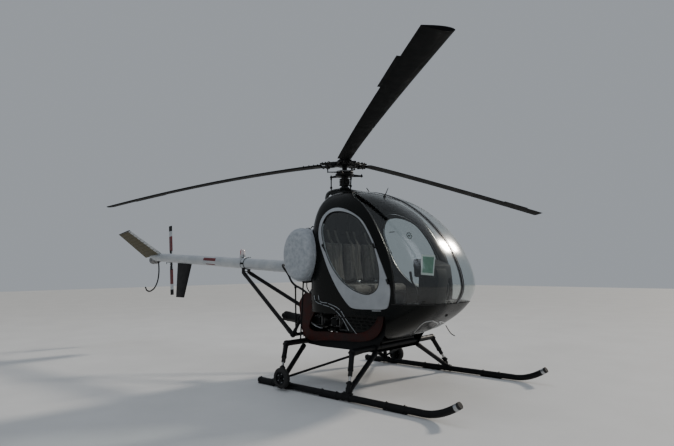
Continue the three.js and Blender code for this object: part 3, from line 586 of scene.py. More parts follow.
# Sand-cast aluminium with an oily film
ALLOY = coating("cast_aluminium", "#9a9a98", "#5f6062", 30, (0.38, 0.6), bump_mm=0.5, Metallic=1.0)
# Bright stainless tube: mirror-like, streaked by heat
BRIGHT = coating("polished_stainless", "#c9c8c4", "#93928f", 40, (0.12, 0.28), Metallic=1.0)
# Clear anodised rims and fittings: silver with a soft brushed sheen
SILVER = coating("anodised_aluminium", "#c4c6c8", "#9fa2a5", 15, (0.25, 0.4), Metallic=1.0)
# Tyre and seal rubber: dull black with grey dust
RUBBER = coating("vulcanised_rubber", "#2b2a29", "#161616", 25, (0.75, 0.9), bump_mm=0.4)
# Matt black erosion paint on bonded aluminium blades
BLADE = coating("matt_polyurethane_black", "#08090a", "#040505", 160, (0.5, 0.68), bump_mm=0.15,
                Specular_IOR_Level=0.1)
# Grey-black vinyl and crackle paint inside the cabin: matt, with a fine grain
LINING = coating("lining_vinyl", "#1c1d1f", "#101113", 50, (0.6, 0.8), bump_mm=0.4, grain_mm=3,
                 Specular_IOR_Level=0.2)
# Flat enamels with slight wear, grey for door rings and dark red for bands; dull olive is painted shade under
# the white stabiliser
DOOR_GREY = coating("polyurethane_enamel_grey", "#a6aaad", "#92979b", 160, (0.3, 0.45))
BAND_RED = coating("signal_red_enamel", "#6c1019", "#4d0b12", 80, (0.3, 0.45))
SHADE_OLIVE = coating("painted_shade_olive", "#57513a", "#3f3b2a", 60, (0.55, 0.7))
# Coated card, flat white and flat pale green
CARD_WHITE = coating("coated_card_white", "#f2f4ee", "#e8ebe2", 80, (0.5, 0.6))
CARD_GREEN = coating("coated_card_green", "#7aa68e", "#5d8f74", 30, (0.5, 0.6))
# Moulded lens plastic: glossy, lit softly from within by scattering
RED_LENS = coating("moulded_acrylic_red", "#b3151c", "#7d0c12", 12, (0.08, 0.16),
                   Transmission_Weight=0.25, Coat_Weight=0.5)
CLEAR_LENS = coating("moulded_acrylic_clear", "#f2eeee", "#dcd6d6", 12, (0.08, 0.16),
                     Transmission_Weight=0.25, Coat_Weight=0.5)
ACRYLIC = smoked_acrylic()
CLOTH = wool_blend_cloth()
WEBBING = woven_webbing()


# Cabin

def shield_line():
    """The windshield's side edge, from the belt up."""
    return flat_line(SHIELD_EDGE, 40)


def lined(piece):
    """Dark lining on the faces that look at the cabin's middle."""
    piece.data.materials.append(LINING)
    for face in piece.data.polygons:
        if face.normal.dot((MIDDLE - face.center).normalized()) > 0.35:
            face.material_index = 1


def canopy_frame():
    """Door posts, roof and the strip between the windshields, with the doors' openings."""
    lower = FIREWALL_X + GAP, SILL_Z + GAP
    region = [lower, (BAY_EDGE[0][0], SILL_Z + GAP), *shield_line(),
              (SHIELD_EDGE[-1][0], 2.4), (lower[0], 2.4)]
    panels = within(egg_wall(), slab(region, -BEYOND, BEYOND))
    strip_region = [(0.25, 2.1), (0.25, 2.4), (1.8, 2.4), (1.8, BELT_Z + GAP),
                    (1.3, BELT_Z + GAP)]
    strip = within(egg_wall(), slab(strip_region, -STRIP_HALF, STRIP_HALF))
    boolean(panels, strip, "UNION")
    for side in SIDES.values():
        cut(panels, side_slab(outline(DOOR, grow=RUN), side))
    lined(painted(panels, BLACK))
    pins = all_painted([piece for side in SIDES.values() for piece in hinge_pins(side)], STEEL)
    settle(join(panels, *pins), "canopy_frame_shell", "gloss_body_paint", "canopy_frame")


def nose_shell():
    region = [SHIELD_EDGE[0], BAY_EDGE[0], *flat_line(BAY_EDGE[1:], 14), (1.8, 0.38), (1.8, BELT_Z)]
    shell = within(egg_wall(), slab(region, -BEYOND, BEYOND))
    lined(painted(shell, BLACK))
    settle(shell, "nose_shell", "gloss_body_paint", "cabin_lower_shell")


def rear_shell():
    shell = within(egg_wall(), block(-0.4, FIREWALL_X, -BEYOND, BEYOND, SILL_Z + GAP, 2.4, 0))
    lined(painted(shell, BLACK))
    settle(shell, "rear_shell", "gloss_body_paint", "rear_fairing")


def windshield(name, side):
    edge = [(x + GAP, max(z, BELT_Z + GAP)) for x, z in shield_line()]
    region = [*edge, (1.8, 2.3), (1.8, BELT_Z + GAP)]
    half = sorted((side * (STRIP_HALF + GAP), side * BEYOND))
    sheet = within(egg_wall(0.004, 0.01), slab(region, *half))
    settle(painted(sheet, ACRYLIC), f"windshield_{name}_sheet", "tinted_acrylic", f"windshield_{name}")


def door(name, side):
    """A door ring with its window's opening and the two hinge barrels."""
    panel = within(egg_wall(), side_slab(outline(DOOR), side))
    cut(panel, side_slab(outline(DOOR_WINDOW, 80), side))
    painted(panel, DOOR_GREY)
    lined(panel)
    gasket = seal([skin(x, z, side, 0.0015) for x, z in outline(DOOR_WINDOW, 64, 0.002)], 0.0045, True)
    trim = all_painted([gasket, *hinge_barrels(side)], RUBBER)
    edge = outline(DOOR, 46, -0.014)
    screws = all_painted(rivets([skin(x, z, side) for x, z in edge]), SILVER)
    lever = [turned([(0.015, -0.002), (0.017, 0.001), (0.017, 0.005), (0.012, 0.008)],
                    skin(0.205, 1.56, side), (0, side, 0), 24),
             eased_rod(skin(0.205, 1.56, side, -0.008), skin(0.255, 1.49, side, -0.008), 0.006, 0.002, 14)]
    all_painted(lever, STEEL)
    settle(join(panel, *trim, *screws, *lever), f"door_{name}_ring", "white_paint",
           f"door_{name}", body=f"{name}_door")


def door_glass(name, side):
    sheet = within(egg_wall(0.009, 0.014), side_slab(outline(DOOR_WINDOW, 80, -GAP), side))
    settle(painted(sheet, ACRYLIC), f"door_window_{name}_sheet", "tinted_acrylic",
           f"door_window_{name}", body=f"{name}_door")


# Mast fairing: height, rear, front and half width of its rounded plan, from the foot up
FAIRING = ((1.855, -0.19, -0.09, 0.12), (1.95, -0.24, 0.06, 0.145), (2.15, -0.292, 0.33, 0.152),
           (2.2, -0.3, 0.33, 0.15), (2.238, -0.29, 0.29, 0.143), (2.262, -0.276, 0.2, 0.13),
           (2.282, -0.252, 0.12, 0.11), (2.296, -0.215, 0.078, 0.088), (2.304, -0.165, 0.058, 0.066),
           (2.307, -0.1, 0.052, 0.052))
PLAN_POWER = 0.84


def mast_fairing():
    sections = []
    for z, rear, front, half in FAIRING:
        middle, reach = (rear + front) / 2, (front - rear) / 2
        sections.append([(middle + reach * signed_power(c, PLAN_POWER), half * signed_power(s, PLAN_POWER), z)
                         for c, s in around(56)])
    body = loft(sections)
    # The open arch at the rear, seen right through from the front right
    hollow, way = Vector((-0.24, 0, 2.224)), Vector((-0.66, 0.74, 0.13))
    cut(body, rod(hollow - way * 0.3, hollow + way * 0.3, 0.025, sides=5), egg(-GAP))
    collar_ring = cut(turned([(0.062, 2.27), (0.062, 2.312), (0.056, 2.318)], (0, 0, 0), sides=40),
                      rod((0, 0, 2.2), (0, 0, 2.4), SLEEVE_R + 0.001, sides=40))
    painted(body, BLACK)
    painted(collar_ring, RUBBER)
    settle(join(body, collar_ring), "mast_fairing_shell", "gloss_body_paint", "mast_fairing")


# Tanks: an elliptical drum with a domed outer end, as shares of the half width and depths
TANK = {"x": -0.132, "z": 1.461, "half_x": 0.233, "half_z": 0.31, "inner": 0.35}
TANK_PROFILE = [(0.86, 0), (0.97, 0.012), (1, 0.04), (1, 0.3), (0.992, 0.33), (0.972, 0.352),
                (0.945, 0.366), (0.91, 0.378), (0.86, 0.388), (0.78, 0.397), (0.66, 0.403),
                (0.5, 0.4065), (0.3, 0.409), (0.1, 0.4098)]
WELD_SWELL = 1.004


def fuel_tank(name, side):
    drum = turned(TANK_PROFILE, (0, 0, 0), sides=72)
    for vertex in drum.data.vertices:
        across, up, out = vertex.co
        vertex.co = (TANK["x"] + across * TANK["half_x"], side * (TANK["inner"] + out),
                     TANK["z"] + up * TANK["half_z"])
    in_edit_mode(drum, face_outwards)
    cut(drum, egg(-0.006))
    painted(drum, TANK_WHITE)
    x, y, r, top = FILLER["x"], side * FILLER["y"], FILLER["r"], FILLER["top"]
    cap = turned([(r - 0.004, 1.745), (r - 0.004, top - 0.022), (r, top - 0.02), (r, top - 0.006),
                  (r - 0.006, top)], (x, y, 0), sides=32)
    wing = block(x - 0.022, x + 0.022, y - 0.003, y + 0.003, top - 0.004, top + 0.006, 0.002)
    weld = []
    for out in (0.302, 0.0445):
        rim = [(TANK["x"] + TANK["half_x"] * WELD_SWELL * c, side * (TANK["inner"] + out),
                TANK["z"] + TANK["half_z"] * WELD_SWELL * s) for c, s in around(48)]
        weld.append(painted(cut(seal(rim, 0.0035, True), egg(-0.006)), TANK_WHITE))
    all_painted([cap, wing], SILVER)
    settle(join(drum, cap, wing, *weld), f"fuel_tank_{name}_drum", "white_paint", f"fuel_tank_{name}")


# Inside the cabin
DECK = {"x0": -0.125, "x1": 1.56, "z0": 0.838}
SEAT = {"base": 1.01, "cushion": 1.11, "back": 1.64, "front": 0.6, "half": 0.53, "rear": 0.0723}
SEATS = (-0.353, 0.0, 0.353)
SEAT_HALF = 0.172
# Pads: size of their mesh, how far they may puff, and the steps of the simulation
PAD_MESH = 0.008
PAD_PUFF = 0.022
PAD_STEPS = 20
# Sewn channels: how far apart, depth, half width, how steep their sides are, and the share of
# a pad's height that they start at
CHANNEL = {"apart": 0.08, "depth": 0.006, "half": 0.009, "bell": 2.718, "from": 0.45}


def firewall():
    """The wall behind the seats, with pressed ribs."""
    sheet = within(block(FIREWALL_X, FIREWALL_X + 0.006, -0.7, 0.7, 0.8503, 2.3, 0), egg(WALL + GAP))
    pieces = [sheet]
    for y in (-0.44, -0.22, 0.0, 0.22, 0.44):
        pieces.append(block(FIREWALL_X + 0.005, FIREWALL_X + 0.012, y - 0.016, y + 0.016, 0.9, 2.02))
    for z in (1.72, 1.98):
        pieces.append(block(FIREWALL_X + 0.005, FIREWALL_X + 0.011, -0.46, 0.46, z - 0.014, z + 0.014))
    all_painted(pieces, LINING)
    settle(join(*pieces), "firewall_panel", "black_steel", "firewall")


def pedal(y):
    """A rudder pedal: its pivot block, stalk and ribbed plate."""
    plate = block(1.205, 1.255, y - 0.035, y + 0.035, 0.921, 0.928, 0.003)
    pieces = [block(1.254, 1.286, y - 0.014, y + 0.014, DECK["z0"] + 0.01, 0.882, 0.003),
              rod((1.268, y, 0.87), (1.232, y, 0.925), 0.0075, sides=16), plate,
              eased_rod((1.27, y - 0.02, 0.872), (1.27, y + 0.02, 0.872), 0.006, 0.001, 14)]
    for i in range(4):
        x = 1.213 + i * 0.011
        pieces.append(block(x - 0.002, x + 0.002, y - 0.031, y + 0.031, 0.927, 0.931, 0.001, 1))
    return pieces


def cabin_floor():
    deck = within(block(DECK["x0"], DECK["x1"], -0.7, 0.7, DECK["z0"], FLOOR_TOP, 0), egg(WALL + GAP))
    mats = []
    for side in SIDES.values():
        mats.append(block(0.64, 1.18, side * 0.15, side * 0.47, FLOOR_TOP - 0.001, FLOOR_TOP + 0.004,
                          0.003))
        for i in range(9):
            x = 0.69 + i * 0.055
            mats.append(block(x - 0.004, x + 0.004, side * 0.17, side * 0.45, FLOOR_TOP + 0.003,
                              FLOOR_TOP + 0.0055, 0.001, 1))
    pedals = [piece for y in (-0.42, -0.28, 0.28, 0.42) for piece in pedal(y)]
    painted(deck, LINING)
    all_painted(mats, RUBBER)
    all_painted(pedals, ALLOY)
    settle(join(deck, *mats, *pedals), "cabin_deck", "black_steel", "cabin_floor")


def seat_base():
    """The seat box, with a folded front edge and three recessed front panels."""
    box_shell = block(SEAT["rear"] + GAP, 0.545, -SEAT["half"], SEAT["half"], FLOOR_TOP + GAP,
                      SEAT["base"], 0.008, 3)
    within(box_shell, egg(0.06))
    for y in SEATS:
        cut(box_shell, block(0.537, 0.56, y - 0.13, y + 0.13, 0.88, 0.985, 0.006))
    lip = eased_rod((0.541, -0.5, SEAT["base"] - 0.006), (0.541, 0.5, SEAT["base"] - 0.006), 0.0055,
                    0.001, 16)
    join(box_shell, lip)
    painted(box_shell, LINING)
    settle(box_shell, "seat_box", "black_steel", "seat_base")


def sewn(piece, y, face):
    """Puffs a pad like filled cloth, then presses three sewn channels into one face, which is
    given by its axis and sign. y is the pad's middle."""
    modify(piece, "REMESH", mode="VOXEL", voxel_size=PAD_MESH)
    start = [vertex.co.copy() for vertex in piece.data.vertices]
    only(piece)
    bpy.ops.object.modifier_add(type="CLOTH")
    cloth = piece.modifiers[-1]
    cloth.settings.use_pressure = True
    cloth.settings.uniform_pressure_force = 4
    cloth.settings.effector_weights.gravity = 0
    cloth.point_cache.frame_start = 1
    cloth.point_cache.frame_end = PAD_STEPS
    for step in range(1, PAD_STEPS + 1):
        bpy.context.scene.frame_set(step)
    bpy.ops.object.modifier_apply(modifier=cloth.name)
    bpy.context.scene.frame_set(1)
    axis, sign = face
    heights = [vertex.co[axis] * sign for vertex in piece.data.vertices]
    low, high = min(heights), max(heights)
    for vertex, rest in zip(piece.data.vertices, start):
        move = vertex.co - rest
        if move.length > PAD_PUFF:
            vertex.co = rest + move.normalized() * PAD_PUFF
        height = (vertex.co[axis] * sign - low) / (high - low)
        if height > CHANNEL["from"]:
            for at in (y - CHANNEL["apart"], y, y + CHANNEL["apart"]):
                away = (vertex.co.y - at) / CHANNEL["half"]
                press = CHANNEL["depth"] * CHANNEL["bell"] ** (-away * away)
                vertex.co[axis] -= sign * press * (height - CHANNEL["from"]) / (1 - CHANNEL["from"])
    return painted(modify(piece, "SUBSURF", levels=1, render_levels=1), CLOTH)


def cushion(number, y):
    pad = block(SEAT["rear"] + 0.018, SEAT["front"] - 0.012, y - SEAT_HALF + 0.012,
                y + SEAT_HALF - 0.012, SEAT["base"] + 0.008, SEAT["cushion"] - 0.022, 0.022, 4)
    within(pad, egg(0.066))
    sewn(pad, y, (2, 1))
    settle(pad, f"seat_cushion_{number}", "seat_cloth", "seat_cushion")


def backrest(number, y):
    half = SEAT_HALF - 0.014
    foot, top = SEAT["cushion"] + 0.018, SEAT["back"] - 0.02
    side = [(SEAT["rear"] + 0.01, foot), (SEAT["rear"] + 0.1, foot), (SEAT["rear"] + 0.062, top),
            (SEAT["rear"] + 0.01, top)]
    pad = within(rounded(slab(side, y - half, y + half), 0.02, 4), egg(0.066))
    sewn(pad, y, (0, 1))
    settle(pad, f"seat_back_{number}", "seat_cloth", "seat_back")


def ribbon(points, count, half, lift):
    """Webbing along a line, with its half width sideways and half its thickness lifted."""
    sections = []
    for spot, way in smooth_line(points, count):
        up = lift(way)
        sections.append([spot - half - up, spot + half - up, spot + half + up, spot - half + up])
    return painted(loft(sections), WEBBING)


def harness(number, y):
    """Two shoulder straps, a lap belt over the cushion and the buckle."""
    face, top = SEAT["rear"], SEAT["back"]
    pieces = []
    for dy in (-0.065, 0.065):
        line = [(face + 0.012, y + dy, top + 0.115), (face + 0.045, y + dy, top + 0.018),
                (face + 0.092, y + dy * 0.9, top - 0.06), (face + 0.122, y + dy * 0.75, 1.36),
                (face + 0.142, y + dy * 0.2, 1.15)]
        pieces.append(ribbon(line, 22, Vector((0, 0.02, 0)),
                             lambda way: way.cross(Vector((0, 1, 0))).normalized() * 0.0016))
    buckle = block(face + 0.128, face + 0.152, y - 0.034, y + 0.034, 1.118, 1.15, 0.006, 3)
    pieces.append(painted(buckle, SILVER))
    for way in (-1, 1):
        line = [(face + 0.14, y + way * 0.03, 1.13), (face + 0.15, y + way * 0.085, 1.119),
                (face + 0.12, y + way * 0.15, 1.112), (face + 0.04, y + way * 0.165, 1.06)]
        pieces.append(ribbon(line, 14, Vector((0.024, 0, 0.004)), lambda _: Vector((0, 0, 0.0015))))
    settle(join(*pieces), f"harness_{number}", "seat_cloth")


def dial(place, r, needle_angle):
    """A round instrument that faces the seats: bezel, face, marks and needle."""
    place = Vector(place)
    way = Vector((-1, 0, 0.12)).normalized()
    right = way.cross(Vector((0, 0, 1))).normalized()
    up = right.cross(way)
    bezel = turned([(r, 0), (r + 0.004, 0.003), (r + 0.004, 0.009), (r, 0.012), (r - 0.003, 0.012),
                    (r - 0.004, 0.008)], place, way, 32)
    pieces = [painted(bezel, STEEL)]
    for c, s in around(9):
        spoke = right * c + up * s
        ends = (place + spoke * r * share + way * 0.0085 for share in (0.72, 0.9))
        pieces.append(painted(rod(*ends, 0.0007, sides=4), WHITE))
    spoke = right * cos(needle_angle) + up * sin(needle_angle)
    tail, point = (place + spoke * r * share + way * 0.0095 for share in (-0.15, 0.68))
    pieces.append(painted(rod(tail, point, 0.0011, 0.0004, 6), WHITE))
    return pieces


def instrument_console():
    base = FLOOR_TOP + GAP
    pedestal = [(1.12, base), (1.33, base), (1.39, 1.18), (1.36, 1.29), (1.18, 1.33), (1.14, 1.2)]
    hood = [(1.158, 1.205), (1.37, 1.185), (1.35, 1.33), (1.18, 1.396), (1.15, 1.392)]
    body = within(rounded(slab(pedestal, -0.108, 0.108), 0.01, 3), egg(0.046))
    panel = within(rounded(slab(hood, -0.228, 0.228), 0.014, 3), egg(0.046))
    steel = [body, panel, block(1.122, 1.13, -0.085, 0.085, 0.9, 1.13, 0.004)]
    pieces = []
    for r, z, ys in ((0.036, 1.33, (-0.172, -0.086, 0.0, 0.086, 0.172)),
                     (0.026, 1.25, (-0.15, -0.086, 0.086, 0.15))):
        master = join(*dial((1.154 - (z - 1.3) * 0.02, 0, z), r, 2.2 if r > 0.03 else 0.7))
        pieces += [moved(another(master), (0, y, 0)) for y in ys]
        bpy.data.objects.remove(master)
    for i in range(6):
        y = -0.06 + i * 0.024
        pieces.append(painted(rod((1.122, y, 1.08), (1.112, y, 1.088), 0.003, 0.0022, 8), SILVER))
        pieces.append(painted(turned([(0.006, 0), (0.006, 0.003)], (1.1215, y, 1.08), (-1, 0, 0), 6), SILVER))
    for z in (0.95, 1.0):
        for y in (-0.045, 0.045):
            pieces.append(painted(turned([(0.014, 0), (0.014, 0.01), (0.011, 0.014)], (1.121, y, z),
                                         (-1, 0, 0), 20), RUBBER))
    all_painted(steel, LINING)
    settle(join(*steel, *pieces), "instrument_pedestal", "instrument_plastic", "instrument_console")


def cyclic_sticks():
    low = FLOOR_TOP + GAP + 0.01
    steel = [eased_rod((0.84, -0.3, low), (0.84, 0.3, low), 0.0098, 0.001, 20)]
    grips = []
    for y in (-0.3, 0.3):
        steel.append(bent([(0.84, y, low), (0.86, y, low + 0.13), (0.78, y, low + 0.3)], 0.0108,
                          steps=10, fineness=4))
        steel.append(turned([(0.016, -0.006), (0.018, 0), (0.018, 0.016), (0.014, 0.022)],
                            (0.84, y, low - 0.004), (0.05, 0, 1), 20))
        foot, head = Vector((0.783, y, low + 0.292)), Vector((0.766, y, low + 0.398))
        grips.append(turned([(0.012, 0), (0.0165, 0.003), (0.015, 0.018), (0.017, 0.03), (0.015, 0.044),
                             (0.017, 0.058), (0.015, 0.072), (0.017, 0.084), (0.017, 0.098),
                             (0.011, 0.106)], foot, head - foot, 20))
        steel.append(ball(head + Vector((-0.014, 0, -0.012)), 0.0045, 12))
    all_painted(steel, STEEL)
    all_painted(grips, RUBBER)
    settle(join(*steel, *grips), "cyclic_stick_pair", "black_steel", "cyclic_sticks")


def cabin_card():
    """The blank pale-green card with a white border behind the right windshield."""
    corners = [Vector(p) for p in ((1.399, -0.443, 1.439), (1.487, -0.322, 1.428), (1.517, -0.41, 1.224),
                                   (1.419, -0.492, 1.237))]
    middle = sum(corners, Vector()) / 4
    normal = (corners[1] - corners[0]).cross(corners[3] - corners[0]).normalized()
    inward = normal if normal.dot(MIDDLE - middle) > 0 else -normal

    def sheet(share, lift, finish):
        front = [middle + (p - middle) * share + inward * lift for p in corners]
        return painted(loft([front, [p + inward * MM for p in front]]), finish)

    settle(join(sheet(1.0, 0.012, CARD_WHITE), sheet(0.8, 0.007, CARD_GREEN)), "windshield_card",
           "instrument_plastic")


# Trim on the cabin: seals, rivets, hinges, lamps, louvres, antenna and probes
HINGE = {"foot": (1.128, 1.092), "lean": (-0.42, 0.9075), "y": 0.626, "at": (0.07, 0.48), "pin": 0.005,
         "barrel": 0.011, "length": 0.034}
LAMP_RIMS = (
    ((1.049, -0.056), (1.18, -0.225), (1.312, -0.288), (1.345, -0.2), (1.327, -0.116), (1.222, 0.121),
     (1.06, 0.132)),
    ((1.31, 0.02), (1.259, 0.199), (1.18, 0.33), (1.12, 0.3), (1.13, 0.19), (1.235, 0.16)),
)
LAMPS = ((1.2, -0.03), (1.195, 0.225))
FILLER = {"x": -0.12, "y": 0.54, "r": 0.036, "top": 1.779}
# Thin tubes over the right flank, as (x, z) on the skin; their pale grey is a painted highlight
HIGHLIGHT_TUBES = (
    ((0.144, 0.994), (0.159, 0.938), (0.293, 0.911), (0.471, 0.841), (0.523, 0.765), (0.619, 0.593)),
    ((0.062, 0.99), (0.082, 0.935), (0.208, 0.895), (0.32, 0.872), (0.398, 0.838), (0.478, 0.764),
     (0.538, 0.625)),
)


def rivets(places):
    """Small round heads on the skin, each facing away from the cabin's middle."""
    r = 0.0032
    heads = []
    for place in places:
        away = Vector((place.x - MIDDLE.x, (place.y - MIDDLE.y) * 3, place.z - MIDDLE.z))
        heads.append(turned([(r, -0.0006), (r * 0.85, 0.0008), (r * 0.4, 0.0014)], place, away, 6))
    return heads


def hinge_place(side, along):
    x, z = HINGE["foot"]
    return Vector((x + HINGE["lean"][0] * along, side * HINGE["y"], z + HINGE["lean"][1] * along))


def hinge_pins(side):
    """The frame's half of each hinge: a strap, a knuckle and the pin that stands on it."""
    pieces = []
    for at in HINGE["at"]:
        low, seat, tip = (hinge_place(side, at + d) for d in (-0.022, 0, HINGE["length"]))
        foot = Vector((seat.x + 0.026, side * (HINGE["y"] - 0.036), seat.z))
        pieces += [eased_rod(low, seat, HINGE["barrel"] - 0.0005, 0.001, 20),
                   rod(low, tip, HINGE["pin"] - 0.0002, sides=20),
                   rod(seat.lerp(low, 0.6), foot, 0.0075, 0.01, 16),
                   turned([(0.016, 0), (0.016, 0.003), (0.01, 0.006)], foot - Vector((0, side * 0.004, 0)),
                          (0.25, side, 0), 20)]
    return pieces


def hinge_barrels(side):
    pieces = []
    for at in HINGE["at"]:
        low, high = hinge_place(side, at + GAP), hinge_place(side, at + HINGE["length"])
        middle = low.lerp(high, 0.5)
        barrel = eased_rod(low, high, HINGE["barrel"] - 0.0005, 0.001, 20)
        cut(barrel, rod(hinge_place(side, at - 0.004), hinge_place(side, at + HINGE["length"] + 0.004),
                        HINGE["pin"] + GAP, sides=20))
        strap = rod(middle + Vector((-0.009, 0, 0)),
                    Vector((middle.x - 0.013, side * (HINGE["y"] - 0.026), middle.z)), 0.006, sides=14)
        pieces += [barrel, strap]
    return pieces


def seal(points, r=0.004, closed=False):
    return bent(points, r, closed=closed, steps=2, fineness=2)


def windshield_seals():
    """Rubber beads and bright edges round the windshields, and the belt moulding."""
    rubber = []
    bright = []
    for side in SIDES.values():
        edge = shield_line()
        rubber.append(seal([skin(x + 0.001, z, side, 0.001) for x, z in edge[::2]], 0.004))
        bright.append(seal([top_skin(0.3 + i * 0.028, side * 0.0145, 1, -0.0008) for i in range(44)]
                           + [front_skin(side * 0.0145, 1.3 - i * 0.046, -0.0008) for i in range(9)], 0.0022))
    belt_line = [front_skin(sin(-1.1 + 2.2 * i / 44) * 0.66, BELT_Z, 0.0012) for i in range(45)]
    rubber.append(seal(belt_line, 0.0045))
    all_painted(rubber, RUBBER)
    all_painted(bright, SILVER)
    screws = rivets([skin(x - 0.018, z, side) for side in SIDES.values() for x, z in shield_line()[2:-3:2]])
    screws += rivets([top_skin(0.36 + i * 0.07, 0.0) for i in range(14)])
    all_painted(screws, STEEL)
    settle(join(*rubber, *bright, *screws), "windshield_seals", "gloss_body_paint")


def lamp_windows():
    """Two clear windows under the nose, each in a rolled rim, with a lamp behind."""
    pieces = []
    glass = []
    for corners, (x, y) in zip(LAMP_RIMS, LAMPS):
        edge = flat_line(corners, 44, closed=True)
        pieces.append(painted(seal([top_skin(px, py, -1, 0.001) for px, py in edge], 0.0065, True), SILVER))
        window = within(egg_wall(0.004, 0.009), prism([(px, py, 0.3) for px, py in edge], (0, 0, 0.6)))
        glass.append(painted(window, ACRYLIC))
        spot = top_skin(x, y, -1, 0.045)
        way = Vector((0.55, 0, -0.85)).normalized()
        bowl = turned([(0.02, -0.03), (0.046, -0.014), (0.058, 0.004), (0.062, 0.008), (0.062, 0.012),
                       (0.056, 0.012), (0.044, -0.002), (0.016, -0.02)], spot - way * 0.02, way, 40)
        pieces += [painted(bowl, BRIGHT),
                   painted(rod(spot - way * 0.09, spot - way * 0.048, 0.02, sides=20), STEEL),
                   painted(ball(spot - way * 0.022, 0.01, 14), WHITE)]
        behind, half = spot - way * 0.075, Vector((0, 0.07, 0))
        pieces.append(painted(rod(behind - half, behind + half, 0.008, sides=12), STEEL))
    settle(join(*pieces, *glass), "nose_lamps", "tinted_acrylic")


def side_louvres():
    """Pressed louvres low on each side, under the door."""
    pieces = []
    for side in SIDES.values():
        for i in range(3):
            z = 0.842 - i * 0.018
            for x in (0.7, 0.83, 0.96):
                row = []
                for k in range(9):
                    share = k / 8
                    at = skin(x - 0.056 + 0.112 * share, z, side, -0.0035 * sin(pi * share) ** 0.5)
                    row.append([at + Vector((0, -side * 0.006, 0.0055)), at + Vector((0, 0, 0.002)),
                                at + Vector((0, 0, -0.0035)), at + Vector((0, -side * 0.008, -0.005))])
                pieces.append(loft(row))
    all_painted(pieces, BLACK)
    settle(join(*pieces), "side_louvres", "gloss_body_paint")


def cabin_fittings():
    """Grab rails under the doors, the nose probe, the roof antenna and skin screws."""
    pieces = []
    for side in SIDES.values():
        ends = [Vector((0.883, side * 0.6085, 0.8555)), Vector((0.989, side * 0.5955, 0.8585))]
        pieces.append(painted(eased_rod(ends[0], ends[1], 0.0062, 0.002, 16), SILVER))
        for share in (0.1, 0.9):
            at = ends[0].lerp(ends[1], share)
            pieces.append(painted(rod(at, at - Vector((0, side * 0.014, 0)), 0.005, sides=12), SILVER))
    probe = bent([(1.4, 0, 0.69), (1.43, 0, 0.645), (1.465, 0, 0.606), (1.506, 0, 0.588)], 0.005, steps=8)
    pieces += [painted(probe, STEEL), painted(turned([(0.018, -0.004), (0.018, 0.002), (0.009, 0.01)],
                                                     top_skin(1.41, 0, -1), (0.6, 0, -1), 20), STEEL)]
    root = top_skin(0.78, -0.22)
    foot = turned([(0.02, -0.003), (0.02, 0.003), (0.01, 0.008), (0.008, 0.016)], root, (0.1, -0.1, 1), 20)
    pieces += [painted(foot, STEEL),
               painted(rod(root, root + Vector((0.036, 0.024, 0.098)), 0.0065, 0.0032, 10), STEEL)]
    screws = []
    for side in SIDES.values():
        screws += [skin(1.18 + i * 0.034, 0.906, side) for i in range(12)]
        screws += [skin(0.092, 0.88 + i * 0.08, side) for i in range(14)]
        screws += [skin(0.15 + i * 0.06, 0.818, side) for i in range(16)]
    pieces += all_painted(rivets(screws), STEEL)
    settle(join(*pieces), "cabin_fittings", "black_steel")


def rear_fittings():
    """Thin pale grey tubes over the right bay, whose paint is a painted highlight, and pipes by the tanks."""
    pieces = []
    for line in HIGHLIGHT_TUBES:
        places = [skin(x, z, -1, -0.005) for x, z in line]
        # Matt pale grey, not metal: a painted highlight along the flank
        pieces.append(painted(bent(places, 0.0036, steps=8), DOOR_GREY))
        pieces += all_painted([bolt(place, (0, -1, 0), 0.007, 0.006) for place in places[1:-1]], STEEL)
    pieces.append(painted(bent([(-0.235, -0.424, 0.673), (-0.221, -0.422, 0.67), (-0.044, -0.42, 0.601),
                                (-0.02, -0.395, 0.598)], 0.007, steps=4), SILVER))
    for side in SIDES.values():
        vent = bent([(-0.11, side * 0.45, 1.735), (-0.11, side * 0.45, 1.79),
                     (-0.14, side * 0.44, 1.806), (-0.175, side * 0.43, 1.79)], 0.006)
        hose = bent([(-0.12, side * 0.56, 1.16), (-0.13, side * 0.54, 1.06),
                     (-0.09, side * 0.4, 0.93), (-0.06, side * 0.3, 0.86)], 0.0065)
        pieces += [painted(vent, STEEL), painted(hose, RUBBER)]
    settle(join(*pieces), "fuel_lines_and_highlight_tubes", "cast_alloy")


CRADLE_ARM = ((-1.0, 0.06, 1.335), (-0.84, 0.28, 1.33), (-0.721, 0.3, 1.228),
              (-0.618, 0.32, 1.12), (-0.4, 0.36, 1.04), (-0.208, 0.4, 0.966))


def tank_cradles():
    """A tube from the boom under each tank to the bay, and its post up from the rear cluster."""
    pieces = []
    for side in SIDES.values():
        pieces.append(bent([on_side(place, side) for place in CRADLE_ARM], 0.014, steps=8))
        foot, head = on_side((-0.467, 0.4, 0.479), side), on_side((-0.545, 0.335, 1.092), side)
        pieces += [eased_rod(foot, head, 0.01, 0.001, 16), collar(foot, head, 0.03, 0.015, 0.02, 16),
                   collar(foot, head, 0.96, 0.015, 0.02, 16)]
    all_painted(pieces, STEEL)
    settle(join(*pieces), "tank_cradle_tubes", "black_steel")


def left_window_vent():
    """The round vent in the left door's window, with its knob, and a rod at the window's edge."""
    centre = skin(0.558, 1.709, 1, 0.004)
    way = Vector((0.15, 1, 0.35))
    bpy.ops.mesh.primitive_torus_add(
        major_radius=0.04, minor_radius=0.005, major_segments=32, minor_segments=12,
        location=centre, rotation=way.to_track_quat("Z", "Y").to_euler())
    rim = apply_place(bpy.context.object)
    knob = ball(centre - way.normalized() * 0.006, 0.01, 14)
    plate = turned([(0.037, -0.001), (0.037, 0.001)], centre, way, 32)
    painted(rim, SILVER)
    painted(knob, STEEL)
    painted(plate, ACRYLIC)
    rail = bent([skin(0.262, 1.766, 1, 0.02), skin(0.34, 1.766, 1, 0.018)], 0.005, steps=3)
    settle(join(rim, knob, plate, painted(rail, STEEL)), "left_window_vent", "tinted_acrylic",
           body="left_door")


